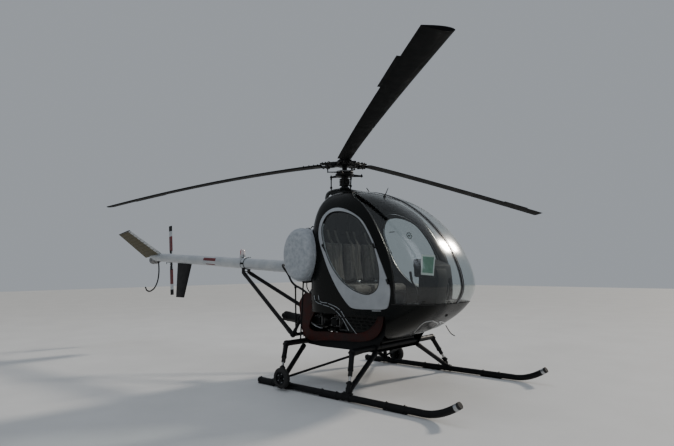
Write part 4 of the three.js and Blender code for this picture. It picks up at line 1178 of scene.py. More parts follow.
# Engine, drive and exhaust
ENGINE = {"x0": -0.33, "x1": 0.4, "half": 0.11, "z0": 0.56, "z1": 0.79, "mid": 0.675}
CYLINDERS = (-0.13, 0.15)
FAN = {"r": 0.232, "x0": -0.4203, "width": 0.09, "z": 0.68}
DRIVE = {"x0": -0.535, "x1": -0.46, "high": 0.96, "low": 0.68, "r": 0.095}
GEARBOX = {"x0": -0.11, "x1": 0.05, "half": 0.15, "base": 0.8503, "top": 1.12}
MUFFLER = ((-0.87, -0.21, 0.682), (-0.545, -0.21, 0.65), 0.062)
BAY_PANEL = [(0.236, 0.796), (0.303, 0.714), (0.377, 0.641), (0.43, 0.575), (0.49, 0.545),
             (0.62, 0.56), (0.7, 0.585), (0.78, 0.62), (0.85, 0.675), (0.89, 0.712),
             (0.915, 0.76), (0.92, 0.796)]
# A louvre's hood: shares of its length and how far it stands out there
HOOD = ((0, 0.05), (0.12, 0.8), (0.25, 1), (0.75, 1), (0.88, 0.8), (1, 0.05))
# Rows of louvres: height, and where they run from and to
LOUVRES = [(0.636, 0.45, 0.675), (0.672, 0.425, 0.755), (0.708, 0.395, 0.8), (0.744, 0.37, 0.84)]


def cylinder(x, side):
    """A finned barrel out along Y, with its head, rocker cover, intake and plug leads."""
    z = ENGINE["mid"]
    way = Vector((0, side, 0))

    def at(out):
        return Vector((x, side * out, z))

    barrel = rod(at(0.1), at(0.33), 0.058, sides=32)
    fins = []
    for i in range(13):
        out = 0.132 + i * 0.0155
        r = 0.0785 if i > 5 else 0.07
        fins.append(turned([(r - 0.001, 0), (r, 0.0012), (r - 0.001, 0.0024)], at(out), way, 24))
    head = block(x - 0.062, x + 0.062, side * 0.318, side * 0.352, z - 0.056, z + 0.056, 0.008, 3)
    cover = block(x - 0.052, x + 0.052, side * 0.35, side * 0.382, z - 0.046, z + 0.046, 0.012, 4)
    all_painted([barrel, *fins, head], ALLOY)
    painted(cover, STEEL)
    pieces = [barrel, *fins, head, cover]
    for dx in (-0.044, 0.044):
        for dz in (-0.038, 0.038):
            pieces.append(painted(bolt((x + dx, side * 0.375, z + dz), way, 0.0045, 0.008), SILVER))
    intake = bent([(x, side * 0.2, ENGINE["z0"] - 0.018), (x, side * 0.29, ENGINE["z0"] - 0.004),
                   (x, side * 0.35, z - 0.062)], 0.0165, steps=8, fineness=4)
    pieces.append(painted(intake, STEEL))
    for dx, shift in ((-0.03, 0.02), (0.03, -0.02)):
        lead = bent([(x + dx, side * 0.335, z + 0.055), (x + dx, side * 0.3, z + 0.095),
                     (x + shift, side * 0.18, z + 0.112), (x - 0.1, side * 0.07, z + 0.116)],
                    0.0042, steps=6, fineness=2)
        plug = turned([(0.009, 0), (0.009, 0.012), (0.006, 0.016), (0.006, 0.03)],
                      (x + dx, side * 0.335, z + 0.04), (0, 0, 1), 12)
        pieces += [painted(lead, RED_OXIDE), painted(plug, BRIGHT)]
    return pieces


def engine():
    x0, x1, half, z0, z1 = (ENGINE[key] for key in ("x0", "x1", "half", "z0", "z1"))
    pieces = [block(x0, x1 - 0.16, -half, half, z0 + 0.004, z1 - 0.03, 0.018, 4),
              block(x1 - 0.19, x1 - 0.04, -half + 0.012, half - 0.012, z0 + 0.02, z1 - 0.045, 0.012, 3),
              turned([(0.082, 0), (0.082, 0.012), (0.06, 0.02), (0.056, 0.046)],
                     (x1 - 0.05, 0, ENGINE["mid"]), (1, 0, 0), 40),
              block(-0.19, 0.29, -0.15, 0.15, z0 - 0.03, z0 + 0.012, 0.012, 3)]
    for x in (-0.26, -0.01, 0.23):
        pieces.append(block(x - 0.007, x + 0.007, -half - 0.005, half + 0.005, z0, z1 - 0.024, 0.003))
    steel = []
    for y in (-0.3, 0.3):
        steel.append(block(-0.2, 0.3, y - 0.025, y + 0.025, RAIL["z"] + RAIL["r"] + 2 * GAP,
                           RAIL["z"] + 0.036, 0.004))
    for x in (-0.17, 0.27):
        for y in (-1, 1):
            steel.append(rod((x, y * 0.292, RAIL["z"] + 0.034), (x, y * 0.09, z0 + 0.016), 0.013, sides=20))
            steel.append(bolt((x, y * 0.3, RAIL["z"] + 0.036), (0, 0, 1), 0.009, 0.01))
    # Magnetos, starter, alternator and oil filler on top and behind
    steel += [turned([(0.03, 0), (0.036, 0.006), (0.036, 0.06), (0.028, 0.078), (0.014, 0.082)],
                     (x1 - 0.095, y, z1 - 0.05), (1, 0, 0.15), 28) for y in (-0.06, 0.06)]
    steel.append(turned([(0.046, 0), (0.05, 0.008), (0.05, 0.08), (0.04, 0.094), (0.018, 0.1)],
                        (x0 + 0.02, 0.1, z0 + 0.04), (1, 0, 0), 32))
    steel.append(turned([(0.016, 0), (0.016, 0.03), (0.022, 0.032), (0.022, 0.042), (0.018, 0.046)],
                        (0.08, 0.045, z1 - 0.036), (0, 0, 1), 20))
    all_painted(pieces, ALLOY)
    all_painted(steel, STEEL)
    for x in CYLINDERS:
        for side in SIDES.values():
            pieces += cylinder(x, side)
    settle(join(*pieces, *steel), "engine_block", "cast_alloy", "engine")


def fan_scroll():
    """The cooling fan in its ring: open to the rear, with its blades and spider."""
    x0, width, z, r = FAN["x0"], FAN["width"], FAN["z"], FAN["r"]
    shell = turned([(0.206, 0.001), (0.214, 0), (r - 0.016, 0.006), (r - 0.003, 0.022), (r, 0.04),
                    (r - 0.003, width - 0.022), (r - 0.018, width - 0.004), (0.2, width)],
                   (x0, 0, z), (1, 0, 0), 72)
    cut(shell, turned([(0.192, -0.01), (0.182, 0.012), (0.196, 0.04), (0.205, width - 0.01)],
                      (x0, 0, z), (1, 0, 0), 72))
    steel = [shell, turned([(0.06, 0.016), (0.07, 0.02), (0.076, 0.06), (0.15, width - 0.012),
                            (0.2, width - 0.008)], (x0, 0, z), (1, 0, 0), 48)]
    blade = moved(block(-0.0012, 0.0012, -0.03, 0.03, 0.072, 0.192, 0), z=38)
    alloy = [moved(another(blade), (x0 + 0.044, 0, z), x=i * 20) for i in range(18)]
    bpy.data.objects.remove(blade)
    for c, s in around(3, start=pi / 2):
        ends = ((x0 + 0.012, r_end * c, z + r_end * s) for r_end in (0.04, 0.208))
        steel.append(rod(*ends, 0.007, sides=16))
    for y, up in around(16, 0.2045):
        steel.append(bolt((x0 + 0.003, y, z + up), (-1, 0, 0), 0.005, 0.0025))
    all_painted(steel, STEEL)
    all_painted(alloy, ALLOY)
    settle(join(*steel, *alloy), "fan_ring", "black_steel", "fan_scroll")


def belt(x, width):
    """One V-belt round both pulleys, as a closed loop in the plane across the boom."""
    r, low, high = DRIVE["r"] - 0.004, DRIVE["low"], DRIVE["high"]

    def loop(radius):
        top = [(radius * cos(pi * i / 16), high + radius * sin(pi * i / 16)) for i in range(17)]
        return top + [(-radius * cos(pi * i / 16), low - radius * sin(pi * i / 16)) for i in range(17)]

    piece = cut(slab(loop(r + 0.004), -width / 2, width / 2), slab(loop(r - 0.006), -width, width))
    return painted(moved(piece, (x, 0, 0), z=90), RUBBER)


def belt_drive():
    x0, x1, r = DRIVE["x0"], DRIVE["x1"], DRIVE["r"]
    width = x1 - x0
    grooves = [(0.06, 0), (r, 0.002)]
    for i in range(4):
        h = 0.007 + i * 0.016
        grooves += [(r, h), (r - 0.012, h + 0.004), (r - 0.012, h + 0.009), (r, h + 0.013)]
    grooves += [(r, width - 0.002), (0.06, width)]
    pieces = []
    for z, spokes in ((DRIVE["high"], 6), (DRIVE["low"], 5)):
        pulley = turned(grooves, (x0, 0, z), (1, 0, 0), 64)
        for y, up in around(spokes, 0.052):
            cut(pulley, rod((x0 - 0.01, y, z + up), (x0 + 0.018, y, z + up), 0.015))
        pieces += [painted(pulley, ALLOY),
                   painted(turned([(0.026, -0.004), (0.03, 0.001), (0.03, 0.012)], (x0, 0, z),
                                  (1, 0, 0), 32), STEEL)]
    for i in range(4):
        pieces.append(belt(x0 + 0.0135 + i * 0.016, 0.009))
    shaft = [eased_rod((x1 - 0.002, 0, DRIVE["low"]), (FAN["x0"] - GAP, 0, DRIVE["low"]), 0.03),
             eased_rod((x1 - 0.002, 0, DRIVE["high"]), (GEARBOX["x0"] - GAP, 0, DRIVE["high"]), 0.0195),
             eased_rod((x1 + 0.01, 0, DRIVE["high"]), (x1 + 0.05, 0, DRIVE["high"]), 0.034),
             eased_rod((-0.225, 0, DRIVE["high"]), (-0.195, 0, DRIVE["high"]), 0.03)]
    # The idler that tightens the belts
    idler_z = (DRIVE["low"] + DRIVE["high"]) / 2
    shaft.append(turned([(0.022, 0.002), (0.0245, 0.006), (0.0245, 0.07), (0.022, 0.073)],
                        (x0, -0.062, idler_z), (1, 0, 0), 32))
    all_painted(shaft, STEEL)
    settle(join(*pieces, *shaft), "belt_pulleys", "black_steel", "belt_drive")


def main_gearbox():
    x0, x1, half, base, top = (GEARBOX[key] for key in ("x0", "x1", "half", "base", "top"))
    middle = (x0 + x1) / 2
    pieces = [block(x0, x1, -half, half, base, base + 0.03, 0.006, 3),
              block(x0 + 0.006, x1 - 0.006, -half + 0.03, half - 0.03, base + 0.02, top - 0.04, 0.03, 5),
              turned([(0.078, 0), (0.078, 0.014), (0.06, 0.02), (0.052, 0.04)],
                     (middle, 0, top - 0.041), sides=48),
              turned([(0.06, 0.001), (0.06, 0.012), (0.048, 0.018)], (x0, 0, DRIVE["high"]), (1, 0, 0), 40)]
    for y in (-0.1, -0.05, 0.05, 0.1):
        pieces.append(block(x0 + 0.004, x1 - 0.004, y - 0.004, y + 0.004, base + 0.01, top - 0.055, 0.003))
    all_painted(pieces, ALLOY)
    bolts = []
    for y in (-0.13, -0.045, 0.045, 0.13):
        for x in (x0 + 0.016, x1 - 0.016):
            bolts.append(bolt((x, y, base + 0.029), (0, 0, 1), 0.007, 0.01))
    for x, y in around(10, 0.069):
        bolts.append(bolt((middle + x, y, top - 0.028), (0, 0, 1), 0.005, 0.008))
    all_painted(bolts, STEEL)
    settle(join(*pieces, *bolts), "gearbox_housing", "cast_alloy", "main_gearbox")


def exhaust_muffler():
    rear, front, r = Vector(MUFFLER[0]), Vector(MUFFLER[1]), MUFFLER[2]
    length = (front - rear).length
    body = turned([(0.034, 0), (0.05, 0.004), (r, 0.016), (r, 0.04), (r - 0.002, 0.043),
                   (r - 0.002, length - 0.043), (r, length - 0.04), (r, length - 0.016),
                   (0.05, length - 0.004), (0.03, length)], rear, front - rear, 48)
    mouth = turned([(0.03, 0.07), (0.03, 0), (0.0275, -0.001), (0.0275, 0.05)],
                   (-0.905, -0.21, 0.6855), (0.07, 0, -0.007), 32)
    inlet = bent([(-0.56, -0.21, 0.651), (-0.48, -0.24, 0.651), (-0.38, -0.33, 0.648),
                  (-0.3, -0.366, 0.645), (-0.204, -0.366, 0.645)], 0.0255, steps=10, fineness=6)
    pieces = [body, mouth, inlet]
    for share in (0.22, 0.78):
        pieces.append(collar(rear, front, share, r + 0.0015, 0.01, 48))
    pieces.append(eased_rod((-0.212, -0.366, 0.645), (-0.2003, -0.366, 0.645), 0.03, 0.002))
    all_painted(pieces, STEEL)
    settle(join(*pieces), "muffler_can", "cast_alloy", "exhaust_muffler")


def bay_plates():
    """The belly pan below the bands and the baffles beside the fan, which close the bay: their dark sheets
    are painted shade inside it.
    """
    belly = [(-0.3, 0.52), (-0.287, 0.412), (-0.236, 0.4), (-0.008, 0.385), (0.418, 0.388), (0.7, 0.39),
             (0.783, 0.386)]
    above = [(0.842, 0.5), (0.98, 0.69), (0.985, 0.77), (0.905, 0.76), (0.855, 0.665), (0.78, 0.605),
             (0.64, 0.55), (0.481, 0.535), (0.151, 0.528), (-0.17, 0.515), (-0.245, 0.585)]
    pieces = [loft([[(x, -0.4155, z), (x, 0.4155, z), (x, 0.4155, z + 0.003), (x, -0.4155, z + 0.003)]
                    for x, z in belly[1:]])]
    for side in SIDES.values():
        pieces.append(slab([*belly, *above], side * 0.416, side * 0.419))
        edge = [(0.116, 0.474), (0.42, 0.474), (0.428, 0.52), (0.428, 0.797), (0.116, 0.797)]
        pieces.append(moved(slab([(side * y, h) for y, h in edge], -0.0015, 0.0015), (-0.318, 0, 0), z=90))
    # Satin black all over, as painted shade for the closed bay
    all_painted(pieces, STEEL)
    settle(join(*pieces), "bay_plates", "black_steel")


def bay_panel(name, side):
    """The dark cowl panel inside the band: rolled edge, pressed louvres, quarter-turn studs."""
    y0, y1 = side * 0.4197, side * 0.4317
    sheet = slab(BAY_PANEL, y1 - side * 0.004, y1)
    pieces = [sheet, bent([(x, y1 - side * 0.004, z) for x, z in BAY_PANEL], 0.004, closed=True, steps=4)]
    for z, x_from, x_to in LOUVRES:
        count = max(3, round((x_to - x_from) / 0.075))
        step = (x_to - x_from) / count
        for i in range(count):
            a, b = x_from + i * step + 0.008, x_from + (i + 1) * step - 0.008
            hood = [[(a + (b - a) * share, y1 + side * (0.0075 * sin(pi * k / 8)) * swell,
                      z + 0.009 * cos(pi * k / 8)) for k in range(9)] for share, swell in HOOD]
            pieces.append(loft([[*arch, (arch[0][0], y1 - side * 0.002, z)] for arch in hood]))
    for x, z in BAY_PANEL[::2]:
        pieces.append(turned([(0.008, 0), (0.007, 0.002), (0.003, 0.003)],
                             (0.62 + (x - 0.62) * 0.93, y1, 0.68 + (z - 0.68) * 0.85), (0, side, 0), 12))
    pieces.append(block(0.45, 0.83, y0, y1 - side * 0.0045, 0.69, 0.72, 0.002))
    all_painted(pieces, BLACK)
    settle(join(*pieces), f"bay_panel_{name}_cowl", "black_steel", f"bay_panel_{name}")


# Main rotor
ROTOR = {"radius": 4.09, "chord": 0.175, "thick": 0.021, "hub": 2.624, "root": 0.331}
# Blades in the order left of view, near, far: azimuth in degrees, droop of the tip and
# how late along the blade it comes
BLADES = [{"azimuth": 197, "droop": 0.335, "bend": 1.6},
          {"azimuth": 317.6, "droop": 0.15, "bend": 1.6},
          {"azimuth": 77, "droop": 0.42, "bend": 1.1}]
TWIST_ROOT = radians(2)
TWIST_TIP = radians(-6)
PITCH_AXIS = 0.25


def aerofoil(count):
    """A symmetrical section: (share of the chord behind the nose, share of the thickness)."""
    section = []
    for i in range(count):
        a = 2 * pi * i / count
        back = (1 - cos(a)) / 2
        half = (2.969 * sqrt(back) - 1.26 * back - 3.516 * back ** 2 + 2.843 * back ** 3
                - 1.036 * back ** 4)
        section.append((back, half / 2 * (1 if sin(a) >= 0 else -1)))
    return section


def blade_point(blade, r, back, up):
    """A point of a blade: r from the mast, back behind its nose and up from its middle."""
    share = (r - ROTOR["root"]) / (ROTOR["radius"] - ROTOR["root"])
    droop = blade["droop"] * max(0, share) ** blade["bend"]
    pitch = TWIST_ROOT + (TWIST_TIP - TWIST_ROOT) * share
    ahead = PITCH_AXIS * ROTOR["chord"] - back
    spot = Vector((r, ahead * cos(pitch) - up * sin(pitch), ahead * sin(pitch) + up * cos(pitch)))
    spot.z += ROTOR["hub"] - droop
    turn = radians(blade["azimuth"])
    return Vector((spot.x * cos(turn) - spot.y * sin(turn), spot.x * sin(turn) + spot.y * cos(turn),
                   spot.z))


def blade_ring(blade, r, swell=0.0, reach=1.0):
    """One section of a blade, swell thicker on each face and reach of its chord long."""
    return [blade_point(blade, r, back * ROTOR["chord"] * reach, up * (ROTOR["thick"] + 2 * swell))
            for back, up in aerofoil(36)]


def main_blade(number, blade):
    """The spar and skin, with root doublers, a capped tip and a tab behind the outer part."""
    root, tip = ROTOR["root"], ROTOR["radius"]
    pieces = [loft([blade_ring(blade, root + (tip - root) * i / 30) for i in range(31)])]
    for swell, reach, end in ((0.0035, 0.62, 0.64), (0.0018, 0.78, 0.86)):
        pieces.append(loft([blade_ring(blade, root + (end - root) * share, swell * (1 - share * 0.6), reach)
                            for share in (0, 0.3, 0.6, 0.85, 1)]))
    pieces.append(loft([blade_ring(blade, r, 0.0012) for r in (tip - 0.022, tip - 0.001)]))
    tab = []
    for r in (3.05, 3.25, 3.45, 3.65):
        corners = ((0.17, 0.0009), (0.197, 0.0006), (0.197, -0.0006), (0.17, -0.0009))
        tab.append([blade_point(blade, r, back, up) for back, up in corners])
    pieces.append(loft(tab))
    for r in (0.372, 0.43, 0.5, 0.58):
        for back in (0.02, 0.07):
            at = blade_point(blade, r, back, 0.0145)
            pieces.append(bolt(at, (0, 0, 1), 0.007, 0.006))
    settle(painted(join(*pieces), BLADE), f"main_blade_{number}_spar", "blade_paint",
           f"main_blade_{number}", body="main_rotor")


# Tail
BOOM = {"x0": -0.175, "x1": -4.64, "z0": 1.28, "z1": 1.525, "r0": 0.087, "r1": 0.074}


def boom_share(x):
    return (x - BOOM["x0"]) / (BOOM["x1"] - BOOM["x0"])


def boom_centre(x):
    return Vector((x, 0, BOOM["z0"] + (BOOM["z1"] - BOOM["z0"]) * boom_share(x)))


def boom_radius(x):
    return BOOM["r0"] + (BOOM["r1"] - BOOM["r0"]) * boom_share(x)


def boom_bore(x0, x1, sides=72):
    """What cuts the boom, and a hair's gap round it, out of another piece."""
    return rod(boom_centre(x0), boom_centre(x1), boom_radius(x0) + GAP, boom_radius(x1) + GAP, sides)


def tail_boom():
    tube = rod(boom_centre(BOOM["x0"]), boom_centre(BOOM["x1"]), BOOM["r0"], BOOM["r1"], 96)
    settle(painted(tube, WHITE), "tail_boom_tube", "white_paint", "tail_boom")


# Rotor head
HUB_R = 0.095
SHAFT_R = 0.0315
SLEEVE_R = 0.04
SWASH = {"low": 2.452, "high": 2.498, "r": 0.118, "arm": 0.23, "z": 2.475}
LINK = {"low": 2.504, "high": 2.524, "r": 0.112, "x": 0.19, "y": 0.1}


def mast_support():
    """The still sleeve round the rotor shaft, with its collars and a rubber boot."""
    post = turned([(0.036, 1.1203), (SLEEVE_R, 1.126), (SLEEVE_R, 2.3), (0.0445, 2.303),
                   (0.0445, 2.328), (SLEEVE_R, 2.331), (0.0385, 2.4), (SLEEVE_R, 2.403),
                   (SLEEVE_R, 2.498), (0.038, 2.5)], (0, 0, 0), sides=48)
    cut(post, rod((0, 0, 2.39), (0, 0, 2.52), SHAFT_R + 0.0005, sides=40))
    painted(post, STEEL)
    folds = [(0.041, 2.335)]
    for i in range(5):
        h = 2.338 + i * 0.018
        folds += [(0.07, h + 0.005), (0.07, h + 0.008), (0.057, h + 0.013), (0.057, h + 0.017)]
    boot = painted(turned([*folds, (0.041, 2.43)], (0, 0, 0), sides=36), RUBBER)
    settle(join(post, boot), "mast_sleeve", "black_steel", "mast_support")


def swashplate():
    """The still star: a bearing ring, three tapered arms and their control rods."""
    low, high, r, z = SWASH["low"], SWASH["high"], SWASH["r"], SWASH["z"]
    plate = turned([(0.1, low), (0.11, low + 0.004), (0.11, low + 0.014), (r, low + 0.018),
                    (r, high - 0.012), (0.106, high - 0.008), (0.1, high)], (0, 0, 0), sides=64)
    cut(plate, rod((0, 0, low - 0.05), (0, 0, high + 0.05), SLEEVE_R + 0.0005, sides=48))
    alloy = [plate]
    steel = []
    for degrees in (60, 180, 300):
        way = Vector((cos(radians(degrees)), sin(radians(degrees)), 0))
        tip = way * SWASH["arm"] + Vector((0, 0, z))
        alloy.append(rod(way * 0.105 + Vector((0, 0, z)), tip - way * 0.012, 0.019, 0.012, 20))
        steel += [ball(tip, 0.0175, 20), bolt(tip + Vector((0, 0, 0.014)), (0, 0, 1), 0.008, 0.011)]
        if degrees == 180:
            high_end, foot = tip, Vector((-0.23, 0, 2.28))
        else:
            high_end, foot = way * 0.086 + Vector((0, 0, low + 0.004)), way * 0.078 + Vector((0, 0, 2.29))
        steel += [eased_rod(foot, high_end, 0.008, 0.001, 16), collar(foot, high_end, 0.88, 0.012, 0.012, 12),
                  collar(foot, high_end, 0.3, 0.0155, 0.013, 12)]
    for x, y in around(8, 0.085, 0.2):
        steel.append(bolt((x, y, high - 0.002), (0, 0, 1), 0.006, 0.005))
    all_painted(alloy + steel, STEEL)
    settle(join(*alloy, *steel), "swashplate_star", "cast_alloy", "swashplate")


def hub_arm():
    """One blade's arm along +X: flap hinge, grip, pitch horn, root bolts and lag damper."""
    z = ROTOR["hub"]
    end = ROTOR["root"] - GAP
    steel = [
        block(0.072, 0.13, -0.046, 0.046, z - 0.03, z + 0.03, 0.006, 3),
        eased_rod((0.112, -0.056, z), (0.112, 0.056, z), 0.017, 0.002, 24),
        bolt((0.112, 0.056, z), (0, 1, 0), 0.011, 0.01), bolt((0.112, -0.056, z), (0, -1, 0), 0.011, 0.01),
        turned([(0.028, 0), (0.036, 0.008), (0.04, 0.02), (0.04, 0.066), (0.036, 0.074),
                (0.036, 0.1)], (0.128, 0, z), (1, 0, 0), 32),
        block(0.206, end, -0.047, 0.047, z + 0.0125, z + 0.03, 0.005, 3),
        block(0.206, end, -0.047, 0.047, z - 0.03, z - 0.0125, 0.005, 3),
        block(0.204, 0.236, -0.04, 0.04, z - 0.026, z + 0.026, 0.006, 3),
        block(0.15, 0.226, 0.03, 0.118, z - 0.026, z - 0.006, 0.006, 3),
        rod((0.19, 0.1, z - 0.028), (0.19, 0.1, z - 0.002), 0.015, sides=20),
        turned([(0.013, -0.048), (0.017, -0.045), (0.017, 0.045), (0.013, 0.048)], (0.222, 0, z), sides=20),
        turned([(0.024, 0.028), (0.024, 0.036), (0.019, 0.04)], (0.222, 0, z), sides=6),
        turned([(0.019, -0.04), (0.024, -0.036), (0.024, -0.028)], (0.222, 0, z), sides=6),
    ]
    for x, y in ((0.262, 0.018), (0.262, -0.022), (0.306, 0.018), (0.306, -0.022)):
        steel.append(bolt((x, y, z + 0.03), (0, 0, 1), 0.009, 0.013))
        steel.append(bolt((x, y, z - 0.03), (0, 0, -1), 0.009, 0.01))
    start, heel = Vector((0.028, -0.092, z)), Vector((0.232, -0.072, z))
    damper = turned([(0.012, 0), (0.018, 0.003), (0.021, 0.008), (0.021, 0.022), (0.0185, 0.025),
                     (0.0185, 0.118), (0.021, 0.121), (0.021, 0.14), (0.015, 0.145)],
                    start, heel - start, 28)
    steel += [damper, block(0.008, 0.05, -0.104, -0.06, z - 0.022, z + 0.022, 0.005),
              block(0.214, 0.252, -0.088, -0.038, z - 0.019, z - 0.003, 0.004),
              block(0.214, 0.252, -0.088, -0.038, z + 0.003, z + 0.019, 0.004),
              bolt((0.233, -0.074, z + 0.019), (0, 0, 1), 0.008, 0.01)]
    bright = [rod(start.lerp(heel, 0.6), heel, 0.009, sides=20)]
    all_painted(steel, STEEL)
    all_painted(bright, BRIGHT)
    return join(*steel, *bright)


def rotor_hub():
    z = ROTOR["hub"]
    steel = [
        turned([(0.062, -0.044), (0.088, -0.04), (HUB_R, -0.032), (HUB_R, -0.022), (0.086, -0.018),
                (0.086, 0.018), (HUB_R, 0.022), (HUB_R, 0.034), (0.088, 0.042), (0.052, 0.047),
                (0.044, 0.056)], (0, 0, z), sides=64),
        turned([(0.043, 0.05), (0.043, 0.068), (0.039, 0.072)], (0, 0, z), sides=6),
        turned([(0.034, 0.07), (0.034, 0.084), (0.028, 0.092), (0.012, 0.094)], (0, 0, z), sides=32),
        rod((0, 0, 2.43), (0, 0, z - 0.04), SHAFT_R, sides=48),
    ]
    for x, y in around(12, 0.068):
        steel.append(bolt((x, y, z + 0.043), (0, 0, 1), 0.006, 0.007))
    all_painted(steel, STEEL)
    arm = hub_arm()
    arms = [moved(another(arm), z=blade["azimuth"]) for blade in BLADES]
    bpy.data.objects.remove(arm)
    settle(join(*steel, *arms), "rotor_hub_head", "black_steel", "rotor_hub", body="main_rotor")


def pitch_links():
    """The turning ring over the star, with a horn and a link up to each grip."""
    low, high, r = LINK["low"], LINK["high"], LINK["r"]
    plate = turned([(r - 0.006, low), (r, low + 0.004), (r, high - 0.004), (r - 0.006, high)],
                   (0, 0, 0), sides=64)
    cut(plate, rod((0, 0, low - 0.05), (0, 0, high + 0.05), 0.06, sides=48))
    alloy = [plate]
    steel = []
    top = ROTOR["hub"] - 0.026 - GAP
    for blade in BLADES:
        horn = rod((0.092, 0.048, 2.514), (0.184, 0.097, 2.514), 0.0095, 0.0075, 16)
        low_end, high_end = Vector((LINK["x"], LINK["y"], 2.514)), Vector((LINK["x"], LINK["y"], top))
        link = [eased_rod(low_end, high_end, 0.0065, 0.001, 16), ball(low_end, 0.0095, 16),
                turned([(0.0095, 0), (0.0095, 0.03)], low_end + Vector((0, 0, 0.026)), sides=6),
                eased_rod(high_end - Vector((0, 0, 0.014)), high_end, 0.0095, 0.001, 16)]
        alloy.append(moved(horn, z=blade["azimuth"]))
        steel.append(moved(join(*link), z=blade["azimuth"]))
    all_painted(alloy, ALLOY)
    all_painted(steel, STEEL)
    settle(join(*alloy, *steel), "pitch_link_ring", "cast_alloy", "pitch_links", body="main_rotor")


# Landing gear
SKID = {"y": 0.985, "z": 0.038, "r": 0.032, "aft": -0.46, "flat": 1.72, "bend": 1.9,
        "tip": (2.086, 0.17)}
SHOES = {"at": (-0.33, 0.62, 1.43), "length": 0.26, "half": 0.024, "top": 0.014}
BEAM = {"z": 0.44, "r": 0.032, "half": 0.8, "front": 0.753, "rear": -0.236}
RAIL = {"y": 0.3, "r": 0.02, "aft": -0.47, "fore": 0.79, "z": 0.4923}
WHEEL = {"x": 0.006, "y": 1.072, "z": 0.126, "r": 0.11, "width": 0.062, "axle": 0.01}
# Where each leg leaves the beam, where its damper does, and the damper's heel and foot
LEGS = {
    "front": {"top": (0.775, 0.4, 0.398), "damper": (0.753, 0.784, 0.43),
              "heel": (0.84, 0.932, 0.16), "foot": (0.847, 0.975, 0.068)},
    "rear": {"top": (-0.246, 0.478, 0.388), "damper": (-0.236, 0.784, 0.43),
             "heel": (-0.112, 0.952, 0.205), "foot": (-0.1, 0.972, 0.068)},
}
DRAG_BRACE = ((-0.095, 0.95, 0.095), (0.753, 0.338, 0.44))


def skid_line(t):
    """The turned-up end of a skid: t runs from 0 at its foot to 1 at its tip."""
    foot = Vector((SKID["flat"], SKID["z"]))
    elbow = Vector((SKID["bend"], SKID["z"]))
    return foot * (1 - t) ** 2 + elbow * 2 * t * (1 - t) + Vector(SKID["tip"]) * t * t


def along_skid(share_from, share_to, y, r, count=8):
    points = []
    for i in range(count + 1):
        x, z = skid_line(share_from + (share_to - share_from) * i / count)
        points.append((x, y, z))
    return bent(points, r, steps=3, fineness=6)


def skid(name, side):
    y = side * SKID["y"]
    straight = [(SKID["aft"], y, SKID["z"]), (SKID["flat"], y, SKID["z"])]
    tube = eased_rod(*straight, SKID["r"], 0.004, 40)
    front = along_skid(0, 0.86, y, SKID["r"], 12)
    plug = along_skid(0.93, 0.995, y, SKID["r"] - 0.0005, 3)
    band = painted(along_skid(0.855, 0.935, y, SKID["r"] - 0.0003, 3), SILVER)
    pieces = [tube, front]
    for x in SHOES["at"]:
        half = SHOES["length"] / 2
        pieces.append(block(x - half, x + half, y - SHOES["half"], y + SHOES["half"], 0,
                            SHOES["top"], 0.004, 3))
        for end in (-1, 1):
            spot = x + end * (half - 0.03)
            pieces.append(eased_rod((spot - 0.012, y, SKID["z"]), (spot + 0.012, y, SKID["z"]),
                                    SKID["r"] + 0.003))
            pieces.append(bolt((spot, y, SKID["z"] + SKID["r"] + 0.001), (0, 0, 1), 0.006, 0.008))
    hub = Vector((WHEEL["x"], y, SKID["z"]))
    axle = Vector((WHEEL["x"], side * WHEEL["y"], WHEEL["z"]))
    pieces.append(eased_rod(hub - Vector((0.026, 0, 0)), hub + Vector((0.026, 0, 0)), 0.038))
    arm_top = Vector((WHEEL["x"], side * (SKID["y"] + 0.022), WHEEL["z"]))
    pieces.append(rod(hub, arm_top, 0.016))
    pieces.append(ball(arm_top, 0.019))
    pieces.append(eased_rod(arm_top, axle + Vector((0, side * 0.034, 0)), WHEEL["axle"]))
    all_painted(pieces, STEEL)
    painted(plug, RUBBER)
    settle(join(*pieces, plug, band), f"skid_{name}_tube", "black_steel", f"skid_{name}")


def ground_wheel(name, side):
    """A solid-looking tyre on a dished steel rim."""
    centre = Vector((WHEEL["x"], side * WHEEL["y"], WHEEL["z"]))
    across = Vector((0, 0.1, 0))
    half, r = WHEEL["width"] / 2, WHEEL["r"]
    section = [(0.066, -half + 0.006), (0.08, -half + 0.001), (0.092, -half), (0.101, -half + 0.006),
               (0.107, -half + 0.014), (0.1095, -0.012)]
    tread = []
    for x in (-0.012, -0.004, 0.004, 0.012):
        tread += [(r, x - 0.0025), (r, x + 0.0025), (r - 0.003, x + 0.003), (r - 0.003, x + 0.005)]
    tyre_profile = [*section, *tread[:-2], *[(radius, -h) for radius, h in reversed(section)]]
    tyre = painted(turned(tyre_profile, centre, (0, 1, 0), 64), RUBBER)
    rim_profile = [(0.012, -0.016), (0.03, -0.02), (0.034, -0.01), (0.058, -0.014),
                   (0.062, -half + 0.004), (0.0665, -half + 0.003)]
    rim_profile += [(radius, -h) for radius, h in reversed(rim_profile)]
    rim = painted(turned(rim_profile, centre, (0, 1, 0), 48), STEEL)
    bolts = []
    for x, up in around(5, 0.046):
        for face in (-1, 1):
            spot = centre + Vector((x, face * 0.012, up))
            bolts.append(painted(bolt(spot, (0, face, 0), 0.005, 0.008), SILVER))
    cut(tyre, rod(centre - across, centre + across, 0.064, sides=48))
    cut(rim, rod(centre - across, centre + across, 0.0104))
    settle(join(tyre, rim, *bolts), f"wheel_{name}_tyre", "wheel_tyre", f"wheel_{name}",
           body=f"{name}_wheel")


